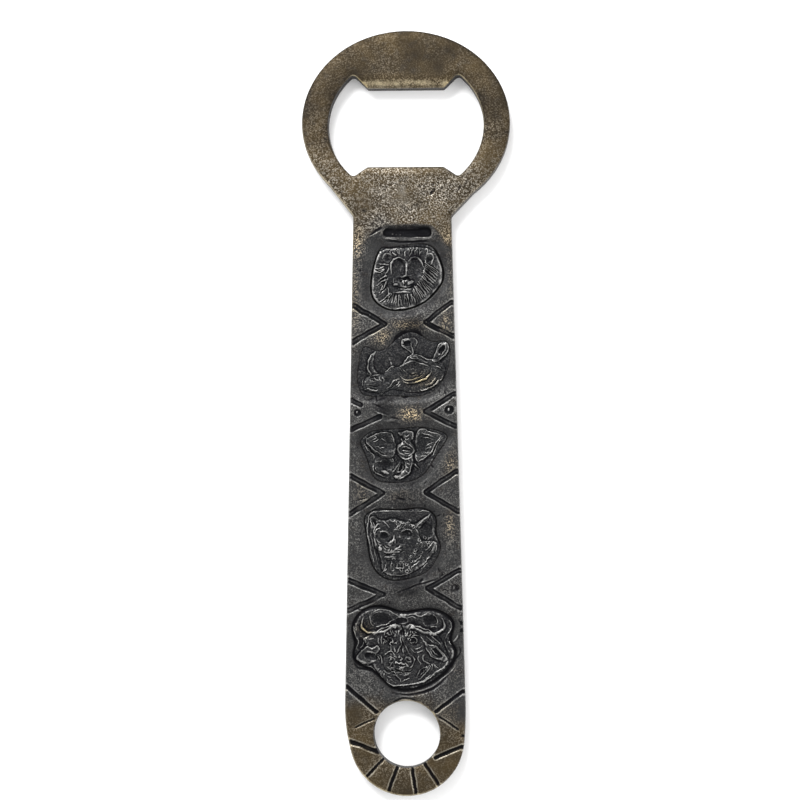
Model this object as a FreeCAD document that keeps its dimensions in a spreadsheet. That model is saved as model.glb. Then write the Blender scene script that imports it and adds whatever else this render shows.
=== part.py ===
"""Souvenir bottle opener: a cast bar with an oval ring head, two lips, a tapered handle
with pressed line ornament and a round eye in its tail. Five relief tiles sit in pockets
of the handle's front face.

The opener lies on its back. +Z is up out of the front face, +Y runs along the bar to the
ring head, and the origin is under the middle of the whole piece. Sizes are millimetres.
"""
import FreeCAD
import Part
import Sketcher
import math
import os
from types import SimpleNamespace

Vector = FreeCAD.Vector

# Driving dimensions: name, value. They become the cells of the spreadsheet.
DIMENSIONS = [
    ("plate_thick", 5.0),
    ("edge_round", 0.5),
    # ring head
    ("head_y", 68.15),
    ("head_half_width", 24.6),
    ("head_half_height", 21.85),
    ("opening_y", 67.5),
    ("opening_half_width", 18.4),
    ("opening_half_height", 16.5),
    ("notch_half", 12.5),
    ("lip_half", 9.0),
    ("upper_lip_y", 76.4),
    ("lower_lip_y", 57.7),
    ("upper_notch_y", 79.8),
    ("lower_notch_y", 55.3),
    ("lip_root", 5.0),
    ("notch_round", 1.0),
    ("lip_round", 0.6),
    ("upper_bevel_long", 2.3),
    ("upper_bevel_deep", 1.5),
    ("lower_bevel_long", 0.9),
    ("lower_bevel_deep", 0.6),
    # shoulders and handle, measured from the centre line
    ("shoulder_half", 19.6),
    ("shoulder_y", 55.3),
    ("neck_y", 46.0),
    ("neck_left", 12.4),
    ("neck_right", 10.7),
    ("neck_round", 1.6),
    ("hip_y", -68.5),
    ("hip_left", 14.2),
    ("hip_right", 14.0),
    # tail
    ("tail_y", -76.55),
    ("tail_radius", 13.45),
    ("eye_x", 0.3),
    ("eye_y", -75.6),
    ("eye_radius", 7.8),
    # ornament pressed into the front face
    ("slot_x", 0.45),
    ("slot_y", 41.95),
    ("slot_half", 4.4),
    ("slot_radius", 1.45),
    ("groove_deep", 0.7),
    ("chevron_wide", 1.25),
    ("apex_left", 5.1),
    ("apex_right", 4.9),
    ("ring_mark_radius", 1.0),
    ("ring_mark_boss", 0.4),
    # relief tiles
    ("seat_deep", 2.0),
    ("tile_thick", 1.2),
    ("relief_low", 1.6),
    ("relief_mid", 1.85),
    ("relief_high", 2.1),
]

# The side triangles between the tiles: middle y, reach up and reach down at the bar's edge,
# and whether a ring mark is punched in them. The left and right ones differ a little.
CHEVRONS = {
    "left": [
        (20.6, 4.3, 4.1, False),
        (-0.7, 4.2, 3.7, True),
        (-19.3, 4.4, 4.9, False),
        (-43.0, 3.6, 3.8, True),
    ],
    "right": [
        (20.8, 4.9, 3.2, False),
        (-0.1, 4.6, 3.4, True),
        (-19.0, 5.1, 4.4, False),
        (-41.6, 4.5, 4.4, True),
    ],
}

RING_MARK_INSET = 1.7

# Straight cuts round the eye: start, end and width.
EYE_CUTS = [
    ((-15.5, -63.1), (-7.0, -70.3), 1.25),
    ((15.5, -64.0), (7.3, -70.2), 1.15),
    ((-7.3, -72.0), (-11.8, -74.1), 0.6),
    ((8.2, -71.6), (12.5, -74.4), 0.6),
    ((-15.5, -76.5), (-6.8, -79.3), 1.35),
    ((15.5, -77.3), (7.1, -80.8), 1.2),
    ((-5.0, -81.2), (-9.0, -85.5), 0.9),
    ((-2.0, -83.1), (-4.1, -88.6), 1.05),
    ((1.8, -83.1), (2.4, -89.2), 0.95),
    ((4.6, -82.2), (7.8, -87.6), 1.0),
]

# Each tile's centre, then its outline round that centre, drawn clockwise from the top left.
TILES = {
    "lion_tile": (
        (0.4, 31.5),
        [
            (-5.6, 7.1), (-0.2, 7.6), (6.1, 7.0), (7.9, 3.8), (8.5, -0.3), (7.0, -3.0),
            (3.4, -6.2), (-0.2, -7.5), (-4.7, -7.4), (-8.2, -4.5), (-8.5, -0.7), (-7.6, 4.0),
        ],
    ),
    "rhino_tile": (
        (-0.2, 10.4),
        [
            (-8.3, 4.5), (-4.3, 4.4), (-1.5, 6.9), (1.6, 8.2), (4.3, 7.1), (7.2, 5.9),
            (9.9, 6.0), (10.7, 3.9), (10.4, 0.8), (9.1, -2.8), (6.4, -5.8), (0.9, -6.9),
            (-5.2, -6.8), (-9.9, -6.2), (-11.1, -3.0), (-10.7, 1.1),
        ],
    ),
    "elephant_tile": (
        (-0.2, -10.2),
        [
            (-10.0, 3.7), (-7.3, 5.5), (-3.0, 5.9), (0.4, 6.2), (4.2, 6.4), (7.5, 5.7),
            (9.9, 4.4), (8.6, 1.6), (6.6, -1.5), (4.4, -4.6), (1.2, -6.2), (-2.4, -6.5),
            (-6.9, -5.6), (-8.3, -2.7), (-9.5, 0.6),
        ],
    ),
    "leopard_tile": (
        (-0.7, -31.2),
        [
            (-8.4, 7.0), (-6.9, 7.9), (-0.6, 8.0), (6.2, 7.9), (7.7, 6.4), (7.9, 2.3),
            (8.8, 0.1), (7.9, -3.5), (6.0, -6.1), (2.3, -7.8), (-4.2, -7.9), (-6.6, -5.8),
            (-8.0, -1.2), (-8.7, 3.4),
        ],
    ),
    "buffalo_tile": (
        (-0.3, -55.4),
        [
            (-11.0, 7.3), (-8.4, 9.2), (-5.0, 9.5), (-0.6, 8.3), (4.6, 8.9), (9.0, 8.2),
            (11.5, 5.5), (10.9, 1.6), (12.0, -0.6), (11.4, -3.3), (8.4, -6.8), (4.6, -9.1),
            (-2.9, -9.2), (-7.7, -5.2), (-11.0, -3.7), (-11.9, -1.8), (-11.5, 0.8), (-12.1, 4.2),
        ],
    ),
}

# The main raised forms on each tile, round the tile's centre. Each is ("oval", centre, half
# sizes), ("curve", closed outline) or ("horn", closed outline with two sharp ends), with the
# height cell that it rises to.
RELIEF = {
    "lion_tile": [
        ("relief_low", "curve", [
            (-4.9, 5.9), (0.0, 6.6), (5.2, 5.9), (7.2, 2.8), (7.5, -0.6), (3.2, -5.2),
            (-0.3, -6.5), (-4.6, -6.2), (-7.3, -3.6), (-7.3, 0.4),
        ]),
        ("relief_mid", "oval", (0.0, 0.4), (3.6, 4.3)),
        ("relief_high", "oval", (0.0, -1.8), (1.9, 1.3)),
        ("relief_mid", "oval", (-4.5, 4.3), (1.3, 1.1)),
        ("relief_mid", "oval", (5.0, 4.3), (1.3, 1.1)),
    ],
    "rhino_tile": [
        ("relief_mid", "curve", [
            (-8.6, -1.8), (-5.4, -0.9), (-1.8, 0.6), (0.5, 2.6), (3.4, 2.7), (6.6, 0.6),
            (8.3, -1.0), (6.3, -4.6), (2.2, -4.9), (-2.4, -4.6), (-6.0, -5.9), (-9.6, -5.4),
        ]),
        ("relief_high", "horn", [(-7.1, 3.9), (-8.8, 1.4), (-8.4, -1.5), (-6.2, -1.4)]),
        ("relief_mid", "oval", (1.6, 4.9), (1.8, 1.9)),
        ("relief_mid", "oval", (8.2, 3.6), (1.3, 2.0)),
    ],
    "elephant_tile": [
        ("relief_mid", "curve", [
            (-9.0, 3.4), (-5.6, 4.8), (-2.2, 4.6), (-1.6, 1.6), (-2.8, -1.6), (-6.2, -1.0),
            (-8.4, 1.0),
        ]),
        ("relief_mid", "curve", [
            (2.6, 3.6), (4.4, 5.4), (8.6, 4.2), (7.2, 1.4), (5.2, -1.4), (2.6, -1.2), (2.2, 1.4),
        ]),
        ("relief_high", "oval", (0.3, 1.0), (1.9, 4.2)),
        ("relief_mid", "curve", [
            (-1.4, -1.8), (1.6, -2.0), (1.6, -4.2), (-1.2, -5.6), (-3.4, -4.8), (-2.6, -3.2),
        ]),
    ],
    "leopard_tile": [
        ("relief_low", "curve", [
            (-6.6, 5.6), (-3.4, 5.8), (0.4, 5.2), (3.2, 5.4), (5.2, 2.6), (7.2, 0.0), (6.6, -3.6),
            (3.2, -6.6), (-3.2, -6.8), (-5.8, -3.6), (-6.8, 1.0),
        ]),
        ("relief_mid", "oval", (-1.6, 1.0), (4.2, 4.0)),
        ("relief_high", "oval", (-3.0, -2.2), (2.2, 1.7)),
    ],
    "buffalo_tile": [
        ("relief_mid", "horn", [
            (-9.3, 7.4), (-10.6, 4.2), (-8.0, 2.0), (-2.0, 3.6), (-0.6, 5.2), (-3.6, 4.6),
            (-7.6, 3.6), (-9.0, 5.0),
        ]),
        ("relief_mid", "horn", [
            (9.4, 7.2), (10.4, 4.0), (8.2, 1.8), (2.6, 3.6), (0.8, 5.2), (3.8, 4.6),
            (7.8, 3.4), (9.0, 4.8),
        ]),
        ("relief_mid", "curve", [
            (-3.6, 2.2), (0.0, 3.0), (4.4, 2.2), (4.2, -1.4), (3.0, -5.6), (-0.4, -7.4),
            (-3.6, -5.8), (-4.4, -1.6),
        ]),
        ("relief_high", "oval", (-0.5, -5.2), (2.7, 1.8)),
        ("relief_mid", "oval", (-8.2, -0.2), (2.4, 1.1)),
        ("relief_mid", "oval", (8.2, -0.2), (2.4, 1.1)),
    ],
}

doc = FreeCAD.newDocument("bottle_opener")
sheet = doc.addObject("Spreadsheet::Sheet", "Sizes")
for row, (alias, value) in enumerate(DIMENSIONS, 1):
    sheet.set(f"A{row}", alias)
    sheet.set(f"B{row}", str(value))
    sheet.setAlias(f"B{row}", alias)
doc.recompute()


class Size:
    """A length in millimetres together with the spreadsheet formula that gives it."""

    def __init__(self, value, formula):
        self.value = value
        self.formula = formula

    def join(self, sign, other, value):
        return Size(value, f"({self.formula} {sign} {formula_of(other)})")

    def __add__(self, other):
        return self.join("+", other, self.value + number(other))

    def __sub__(self, other):
        return self.join("-", other, self.value - number(other))

    def __mul__(self, other):
        return self.join("*", other, self.value * number(other))

    def __neg__(self):
        return Size(-self.value, f"(0 - {self.formula})")


def number(size):
    return size.value if isinstance(size, Size) else float(size)


def formula_of(size):
    return size.formula if isinstance(size, Size) else repr(float(size))


def bind(item, target, size):
    """Ties a property or a constraint to the spreadsheet. A plain number has nothing to tie."""
    if isinstance(size, Size):
        item.setExpression(target, size.formula)


d = SimpleNamespace(**{name: Size(value, f"Sizes.{name}") for name, value in DIMENSIONS})


def new_body(label):
    body = doc.addObject("PartDesign::Body", label)
    body.Label = label
    return body


def new_sketch(body, name, height=None, plane="XY_Plane"):
    """A sketch on one of the body's origin planes, raised to a height if one is given."""
    sketch = body.newObject("Sketcher::SketchObject", f"{body.Label}_{name}")
    support = [f for f in body.Origin.OriginFeatures if f.Role == plane][0]
    sketch.AttachmentSupport = [(support, "")]
    sketch.MapMode = "FlatFace"
    if height is not None:
        lift = Vector(0, 0, number(height))
        sketch.AttachmentOffset = FreeCAD.Placement(lift, FreeCAD.Rotation())
        bind(sketch, "AttachmentOffset.Base.z", height)
    return sketch


def add_rule(sketch, size, *rule):
    """Adds a constraint whose last value is a size, and ties it to the spreadsheet."""
    index = sketch.addConstraint(Sketcher.Constraint(*rule, number(size)))
    bind(sketch, f"Constraints[{index}]", size)


def pin_point(sketch, piece, end, x, y):
    """Holds a piece's start (1), end (2) or centre (3) at x and y from the origin."""
    add_rule(sketch, x, "DistanceX", -1, 1, piece, end)
    add_rule(sketch, y, "DistanceY", -1, 1, piece, end)


def join_pieces(sketch, pieces, smooth=()):
    """Closes the outline. Joints whose first piece is in smooth have no corner."""
    for piece in pieces:
        sketch.addGeometry(piece, False)
    for first in range(len(pieces)):
        second = (first + 1) % len(pieces)
        ends = ends_that_meet(sketch, first, second)
        kind = "Tangent" if first in smooth else "Coincident"
        sketch.addConstraint(Sketcher.Constraint(kind, first, ends[0], second, ends[1]))


def ends_that_meet(sketch, first, second):
    """Which ends (1 start, 2 end) of two neighbouring pieces are at the same point."""
    for a in (1, 2):
        for b in (1, 2):
            if sketch.getPoint(first, a).distanceToPoint(sketch.getPoint(second, b)) < 1e-4:
                return a, b
    raise RuntimeError(f"{sketch.Name}: pieces {first} and {second} don't meet")


def add_polygon(sketch, corners):
    """A closed polygon with its corners held where they are given."""
    points = [Vector(number(x), number(y), 0) for x, y in corners]
    first = sketch.GeometryCount
    count = len(points)
    for i, point in enumerate(points):
        sketch.addGeometry(Part.LineSegment(point, points[(i + 1) % count]), False)
    for i, (x, y) in enumerate(corners):
        following = first + (i + 1) % count
        sketch.addConstraint(Sketcher.Constraint("Coincident", first + i, 2, following, 1))
        pin_point(sketch, first + i, 1, x, y)


def add_circle(sketch, x, y, radius):
    centre = Vector(number(x), number(y), 0)
    circle = Part.Circle(centre, Vector(0, 0, 1), number(radius))
    index = sketch.addGeometry(circle, False)
    pin_point(sketch, index, 3, x, y)
    add_rule(sketch, radius, "Radius", index)


def add_oval(sketch, x, y, half_x, half_y):
    """A full ellipse with its axes along X and Y, held by its centre and both axes."""
    centre = Vector(number(x), number(y), 0)
    right = centre + Vector(number(half_x), 0, 0)
    top = centre + Vector(0, number(half_y), 0)
    if number(half_x) > number(half_y):
        index = sketch.addGeometry(Part.Ellipse(right, top, centre), False)
        long_axis, short_axis, direction = half_x, half_y, "Horizontal"
    else:
        index = sketch.addGeometry(Part.Ellipse(top, right, centre), False)
        long_axis, short_axis, direction = half_y, half_x, "Vertical"
    sketch.exposeInternalGeometry(index)
    pin_point(sketch, index, 3, x, y)
    sketch.addConstraint(Sketcher.Constraint(direction, index + 1))
    add_rule(sketch, times_two(long_axis), "Distance", index + 1)
    add_rule(sketch, times_two(short_axis), "Distance", index + 2)


def times_two(size):
    return size * 2


def add_curve(sketch, points, centre):
    """A smooth closed curve through points round a centre."""
    curve = Part.BSplineCurve()
    moved = [Vector(x + centre[0], y + centre[1], 0) for x, y in points]
    curve.interpolate(Points=moved, PeriodicFlag=True)
    index = sketch.addGeometry(curve, False)
    sketch.addConstraint(Sketcher.Constraint("Block", index))


def pad(body, sketch, height):
    feature = body.newObject("PartDesign::Pad", sketch.Name + "_pad")
    feature.Profile = sketch
    feature.Length = number(height)
    bind(feature, "Length", height)
    sketch.Visibility = False
    doc.recompute()
    return feature


def pocket(body, sketch, depth=None, both_ways=False):
    """Cuts down from the sketch by a depth, or right through when none is given."""
    before = body.Shape.Volume
    feature = body.newObject("PartDesign::Pocket", sketch.Name + "_cut")
    feature.Profile = sketch
    feature.Midplane = both_ways
    if depth is None:
        feature.Type = "ThroughAll"
    else:
        feature.Length = number(depth)
        bind(feature, "Length", depth)
    sketch.Visibility = False
    doc.recompute()
    if body.Shape.Volume > before - 1e-3:
        raise RuntimeError(f"{feature.Name} cut nothing")
    return feature


def round_edges(body, name, wanted, radius):
    """Fillets every edge of the body for which wanted(edge) is true."""
    feature = body.newObject("PartDesign::Fillet", name)
    chosen = [f"Edge{i}" for i, edge in enumerate(body.Shape.Edges, 1) if wanted(edge)]
    feature.Base = (feature.BaseFeature, chosen)
    feature.Radius = number(radius)
    bind(feature, "Radius", radius)
    doc.recompute()
    if not body.Shape.isValid():
        raise RuntimeError(f"{name} failed on {len(chosen)} edges")


def upright_near(places, reach=0.6):
    """A test for upright edges that stand within reach of one of some places."""

    def wanted(edge):
        box = edge.BoundBox
        upright = box.ZLength > 1 and box.XLength < 1e-3 and box.YLength < 1e-3
        here = Vector(box.Center.x, box.Center.y, 0)
        near = [1 for x, y in places if here.distanceToPoint(Vector(x, y, 0)) < reach]
        return upright and bool(near)

    return wanted


def flank_arc(hip, neck, centre, radius):
    """The middle and far end of the arc that leaves the bar's edge at the hip and runs
    smoothly into the tail's round end."""
    along = (hip - neck).normalize()
    inward = Vector(-along.y, along.x, 0)
    to_tail = centre - hip
    if inward.dot(to_tail) < 0:
        inward = inward * -1
    flank = (to_tail.dot(to_tail) - radius**2) / (2 * (to_tail.dot(inward) - radius))
    middle = hip + inward * flank
    far = middle + (centre - middle).normalize() * flank
    half = ((hip - middle).normalize() + (far - middle).normalize()).normalize()
    return middle + half * flank, far


def handle_sketch(body):
    """Shoulders, tapered bar and rounded tail in one closed outline."""
    sketch = new_sketch(body, "handle")
    left_root = Vector(-16, 60, 0)
    left_shoulder = Vector(-number(d.shoulder_half), number(d.shoulder_y), 0)
    left_neck = Vector(-number(d.neck_left), number(d.neck_y), 0)
    left_hip = Vector(-number(d.hip_left), number(d.hip_y), 0)
    right_root = Vector(16, 60, 0)
    right_shoulder = Vector(number(d.shoulder_half), number(d.shoulder_y), 0)
    right_neck = Vector(number(d.neck_right), number(d.neck_y), 0)
    right_hip = Vector(number(d.hip_right), number(d.hip_y), 0)
    centre = Vector(number(d.eye_x), number(d.tail_y), 0)
    radius = number(d.tail_radius)
    left_flank, left_end = flank_arc(left_hip, left_neck, centre, radius)
    right_flank, right_end = flank_arc(right_hip, right_neck, centre, radius)
    bottom = centre - Vector(0, radius, 0)
    pieces = [
        Part.LineSegment(left_root, left_shoulder),
        Part.LineSegment(left_shoulder, left_neck),
        Part.LineSegment(left_neck, left_hip),
        Part.Arc(left_hip, left_flank, left_end),
        Part.Arc(left_end, bottom, right_end),
        Part.Arc(right_end, right_flank, right_hip),
        Part.LineSegment(right_hip, right_neck),
        Part.LineSegment(right_neck, right_shoulder),
        Part.LineSegment(right_shoulder, right_root),
        Part.LineSegment(right_root, left_root),
    ]
    join_pieces(sketch, pieces, smooth=(2, 3, 4, 5))
    pin_point(sketch, 0, 1, left_root.x, left_root.y)
    pin_point(sketch, 1, 1, -d.shoulder_half, d.shoulder_y)
    pin_point(sketch, 2, 1, -d.neck_left, d.neck_y)
    pin_point(sketch, 2, 2, -d.hip_left, d.hip_y)
    pin_point(sketch, 6, 1, d.hip_right, d.hip_y)
    pin_point(sketch, 6, 2, d.neck_right, d.neck_y)
    pin_point(sketch, 8, 1, d.shoulder_half, d.shoulder_y)
    pin_point(sketch, 8, 2, right_root.x, right_root.y)
    pin_point(sketch, 4, 3, d.eye_x, d.tail_y)
    add_rule(sketch, d.tail_radius, "Radius", 4)
    return sketch


def add_lip(sketch, notch_y, lip_y, root_y):
    """The tapered tongue that carries one lip, from inside the ring to its straight edge."""
    corners = [
        (-d.notch_half, notch_y),
        (-d.lip_half, lip_y),
        (d.lip_half, lip_y),
        (d.notch_half, notch_y),
        (d.notch_half, root_y),
        (-d.notch_half, root_y),
    ]
    add_polygon(sketch, corners)


def bevel_lip(body, name, lip_y, start_y, past_y, deep):
    """Cuts a sloping face along the front of a lip, from start_y down to its edge."""
    sketch = new_sketch(body, name, plane="YZ_Plane")
    above = d.plate_thick + 0.4
    corners = [
        (start_y, d.plate_thick),
        (lip_y, d.plate_thick - deep),
        (past_y, d.plate_thick - deep),
        (past_y, above),
        (start_y, above),
    ]
    add_polygon(sketch, corners)
    pocket(body, sketch, d.notch_half * 2, both_ways=True)


def edge_x(side, y):
    """The bar's edge at a height y, on its left (negative) or right side."""
    near, far = (d.neck_left, d.hip_left) if side == "left" else (d.neck_right, d.hip_right)
    share = (number(d.neck_y) - y) / (number(d.neck_y) - number(d.hip_y))
    return (number(near) + share * (number(far) - number(near))) * (-1 if side == "left" else 1)


def add_chevron(sketch, side, middle, up, down):
    """A V-shaped band: its two arms meet at an inner apex and run out past the bar's edge."""
    sign = -1 if side == "left" else 1
    apex = sign * number(d.apex_left if side == "left" else d.apex_right)
    reach = abs(edge_x(side, middle) - apex)
    steep_up, steep_down = up / reach, down / reach
    half = number(d.chevron_wide) / 2
    rise_up, rise_down = half * math.hypot(1, steep_up), half * math.hypot(1, steep_down)
    band = (rise_up + rise_down) / (steep_up + steep_down)
    lean = rise_up - steep_up * band
    centre = apex + sign * band
    far = reach + 1.0
    outside = centre + sign * far
    corners = [
        (outside, middle + steep_up * far + rise_up),
        (apex, middle + lean),
        (outside, middle - steep_down * far - rise_down),
        (outside, middle - steep_down * far + rise_down),
        (centre + sign * band, middle - lean),
        (outside, middle + steep_up * far - rise_up),
    ]
    add_polygon(sketch, corners)


def add_cut(sketch, start, end, width):
    """A straight band of even width from one point to another."""
    along = Vector(end[0] - start[0], end[1] - start[1], 0).normalize()
    side_x, side_y = -along.y * width / 2, along.x * width / 2
    corners = [
        (start[0] + side_x, start[1] + side_y),
        (end[0] + side_x, end[1] + side_y),
        (end[0] - side_x, end[1] - side_y),
        (start[0] - side_x, start[1] - side_y),
    ]
    add_polygon(sketch, corners)


def press_slot(body):
    sketch = new_sketch(body, "slot", d.plate_thick)
    left = Vector(number(d.slot_x - d.slot_half), number(d.slot_y), 0)
    right = Vector(number(d.slot_x + d.slot_half), number(d.slot_y), 0)
    rise = Vector(0, number(d.slot_radius), 0)
    out = Vector(number(d.slot_radius), 0, 0)
    pieces = [
        Part.LineSegment(left + rise, right + rise),
        Part.Arc(right + rise, right + out, right - rise),
        Part.LineSegment(right - rise, left - rise),
        Part.Arc(left - rise, left - out, left + rise),
    ]
    join_pieces(sketch, pieces, smooth=(0, 1, 2, 3))
    pin_point(sketch, 1, 3, d.slot_x + d.slot_half, d.slot_y)
    add_rule(sketch, d.slot_x - d.slot_half, "DistanceX", -1, 1, 3, 3)
    add_rule(sketch, d.slot_radius, "Radius", 1)
    pocket(body, sketch, d.groove_deep)


def press_side_ornament(body):
    """The V-shaped bands at the bar's edges and the ring marks inside some of them."""
    chevrons = new_sketch(body, "chevrons", d.plate_thick)
    marks = new_sketch(body, "ring_marks", d.plate_thick)
    for side, rows in CHEVRONS.items():
        inward = 1 if side == "left" else -1
        for middle, up, down, marked in rows:
            add_chevron(chevrons, side, middle, up, down)
            if marked:
                x = edge_x(side, middle) + inward * RING_MARK_INSET
                add_circle(marks, x, middle, d.ring_mark_radius)
                add_circle(marks, x, middle, d.ring_mark_boss)
    pocket(body, chevrons, d.groove_deep)
    pocket(body, marks, d.groove_deep)


def press_eye_cuts(body):
    sketch = new_sketch(body, "eye_cuts", d.plate_thick)
    for start, end, width in EYE_CUTS:
        add_cut(sketch, start, end, width)
    pocket(body, sketch, d.groove_deep)


def make_casting():
    body = new_body("opener_casting")
    pad(body, handle_sketch(body), d.plate_thick)

    head = new_sketch(body, "head")
    add_oval(head, 0, d.head_y, d.head_half_width, d.head_half_height)
    pad(body, head, d.plate_thick)

    opening = new_sketch(body, "opening", d.plate_thick)
    add_oval(opening, 0, d.opening_y, d.opening_half_width, d.opening_half_height)
    pocket(body, opening)

    upper = new_sketch(body, "upper_lip")
    add_lip(upper, d.upper_notch_y, d.upper_lip_y, d.upper_notch_y + d.lip_root)
    pad(body, upper, d.plate_thick)
    lower = new_sketch(body, "lower_lip")
    add_lip(lower, d.lower_notch_y, d.lower_lip_y, d.lower_notch_y - d.lip_root)
    pad(body, lower, d.plate_thick)

    eye = new_sketch(body, "eye", d.plate_thick)
    add_circle(eye, d.eye_x, d.eye_y, d.eye_radius)
    pocket(body, eye)

    round_casting(body)
    bevel_lip(
        body, "upper_bevel", d.upper_lip_y, d.upper_lip_y + d.upper_bevel_long,
        d.upper_lip_y - 0.5, d.upper_bevel_deep,
    )
    bevel_lip(
        body, "lower_bevel", d.lower_lip_y, d.lower_lip_y - d.lower_bevel_long,
        d.lower_lip_y + 0.5, d.lower_bevel_deep,
    )
    press_slot(body)
    press_side_ornament(body)
    press_eye_cuts(body)
    for name, (centre, outline) in TILES.items():
        seat = new_sketch(body, name + "_seat", d.plate_thick)
        add_curve(seat, outline, centre)
        pocket(body, seat, d.seat_deep)
    return body


def round_casting(body):
    """Rounds the neck and lip corners, then the outer rims of both faces."""
    neck_y = number(d.neck_y)
    neck = [(-number(d.neck_left), neck_y), (number(d.neck_right), neck_y)]
    round_edges(body, "neck_fillet", upright_near(neck), d.neck_round)

    notch, lip = number(d.notch_half), number(d.lip_half)
    upper_notch, lower_notch = number(d.upper_notch_y), number(d.lower_notch_y)
    upper_lip, lower_lip = number(d.upper_lip_y), number(d.lower_lip_y)
    notches = [(s * notch, y) for s in (-1, 1) for y in (upper_notch, lower_notch)]
    corners = [(s * lip, y) for s in (-1, 1) for y in (upper_lip, lower_lip)]
    round_edges(body, "notch_fillet", upright_near(notches, 0.8), d.notch_round)
    round_edges(body, "lip_fillet", upright_near(corners), d.lip_round)

    def on_outer_rim(edge):
        box = edge.BoundBox
        return box.ZLength < 1e-6 and not in_opening(box) and not in_eye(box)

    round_edges(body, "rim_fillet", on_outer_rim, d.edge_round)


def in_opening(box):
    middle = box.Center
    low, high = number(d.lower_notch_y) - 5, number(d.upper_notch_y) + 5
    return abs(middle.x) < number(d.opening_half_width) + 0.2 and low < middle.y < high and (
        box.YLength < 2 * number(d.opening_half_height)
        and box.XMin > -number(d.opening_half_width) - 0.2
        and box.XMax < number(d.opening_half_width) + 0.2
    )


def in_eye(box):
    middle = Vector(box.Center.x, box.Center.y, 0)
    eye = Vector(number(d.eye_x), number(d.eye_y), 0)
    return middle.distanceToPoint(eye) < 0.2


def make_tile(name):
    """A flat tile that fills its seat up to tile_thick, with raised forms on it."""
    centre, outline = TILES[name]
    body = new_body(name)
    floor = d.plate_thick - d.seat_deep
    base = new_sketch(body, "base", floor)
    add_curve(base, outline, centre)
    pad(body, base, d.tile_thick)
    for index, (height, kind, *form) in enumerate(RELIEF[name], 1):
        sketch = new_sketch(body, f"form_{index}", floor)
        if kind == "oval":
            (x, y), (half_x, half_y) = form
            add_oval(sketch, x + centre[0], y + centre[1], half_x, half_y)
        elif kind == "curve":
            add_curve(sketch, form[0], centre)
        else:
            add_polygon(sketch, [(x + centre[0], y + centre[1]) for x, y in form[0]])
        pad(body, sketch, vars(d)[height])
    return body


def check_and_write(bodies):
    doc.recompute()
    for item in doc.Objects:
        if "Invalid" in item.State or "Error" in item.State:
            raise RuntimeError(f"{item.Name} is {item.State}")
    os.makedirs("parts", exist_ok=True)
    for body in bodies:
        shape = body.Shape
        if shape.isNull() or not shape.isValid() or len(shape.Solids) != 1:
            raise RuntimeError(f"{body.Label} isn't one valid solid")
        shape.exportStep(f"parts/{body.Label}.step")
        print(f"{body.Label}: {shape.Volume:.0f} mm3, {len(shape.Faces)} faces")


check_and_write([make_casting()] + [make_tile(name) for name in TILES])
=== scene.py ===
import math
import bpy
import numpy as np
from mathutils import Matrix, Vector
from mathutils.geometry import delaunay_2d_cdt


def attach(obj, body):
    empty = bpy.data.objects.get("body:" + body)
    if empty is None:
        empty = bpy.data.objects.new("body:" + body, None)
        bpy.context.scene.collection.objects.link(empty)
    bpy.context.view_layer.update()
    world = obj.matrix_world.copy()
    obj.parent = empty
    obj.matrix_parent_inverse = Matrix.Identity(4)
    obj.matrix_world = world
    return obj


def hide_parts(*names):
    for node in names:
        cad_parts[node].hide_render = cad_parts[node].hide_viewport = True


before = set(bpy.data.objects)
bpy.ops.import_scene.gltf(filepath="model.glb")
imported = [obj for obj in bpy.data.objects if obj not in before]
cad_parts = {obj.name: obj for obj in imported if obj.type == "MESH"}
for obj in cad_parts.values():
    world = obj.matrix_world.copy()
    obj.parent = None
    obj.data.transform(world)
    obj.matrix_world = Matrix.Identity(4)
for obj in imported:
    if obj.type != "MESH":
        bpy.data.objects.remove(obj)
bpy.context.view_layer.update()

MM = 0.001

PLATE = 5.0           # thickness of the bar
SEAT_FLOOR = 3.0      # height of the floor of the pockets under the tiles
CASTING_SLICE = 3.3   # heights at which the outlines of the CAD pieces are taken
TILE_SLICE = 3.4

# Each motif tile from the neck down: height of its ground, then depth and width of the line
# round it.
GROUND = {
    "lion_tile": (4.68, 0.3, 0.2),
    "rhino_tile": (4.66, 0.04, 0.2),
    "elephant_tile": (4.66, 0.08, 0.2),
    "leopard_tile": (4.68, 0.18, 0.2),
    "buffalo_tile": (4.62, 0.36, 0.45),
}
# Share of the broad swelling of a motif that stays. Its fine lines keep their full height.
SQUEEZE = 0.42
# Where the line round a tile fades out: centre, half size and how much of it goes.
SEAM_FADES = [
    ((0.6, 38.9), (8.5, 2.4), 0.8),
    ((6.4, -36.6), (5.0, 4.0), 0.75),
    ((-8.0, 37.0), (2.5, 2.5), 0.4),
]


# ---------------------------------------------------------------- curves and height fields

def smooth_line(points, closed=False, per_span=6):
    """A smooth curve through points, as many short straight runs."""
    points = np.array(points, float)
    if len(points) < 3:
        return points
    if closed:
        padded = np.vstack([points[-1], points, points[:2]])
    else:
        padded = np.vstack([2 * points[0] - points[1], points, 2 * points[-1] - points[-2]])
    share = np.linspace(0, 1, per_span, endpoint=False)[:, None]
    runs = []
    for a, b, c, d in zip(padded, padded[1:], padded[2:], padded[3:]):
        bend = 2 * a - 5 * b + 4 * c - d
        twist = 3 * b - a - 3 * c + d
        runs.append(0.5 * (2 * b + (c - a) * share + bend * share**2 + twist * share**3))
    last = runs[0][:1] if closed else points[-1:]
    return np.vstack(runs + [last])


def smooth_step(value):
    value = np.clip(value, 0, 1)
    return value * value * (3 - 2 * value)


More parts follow.
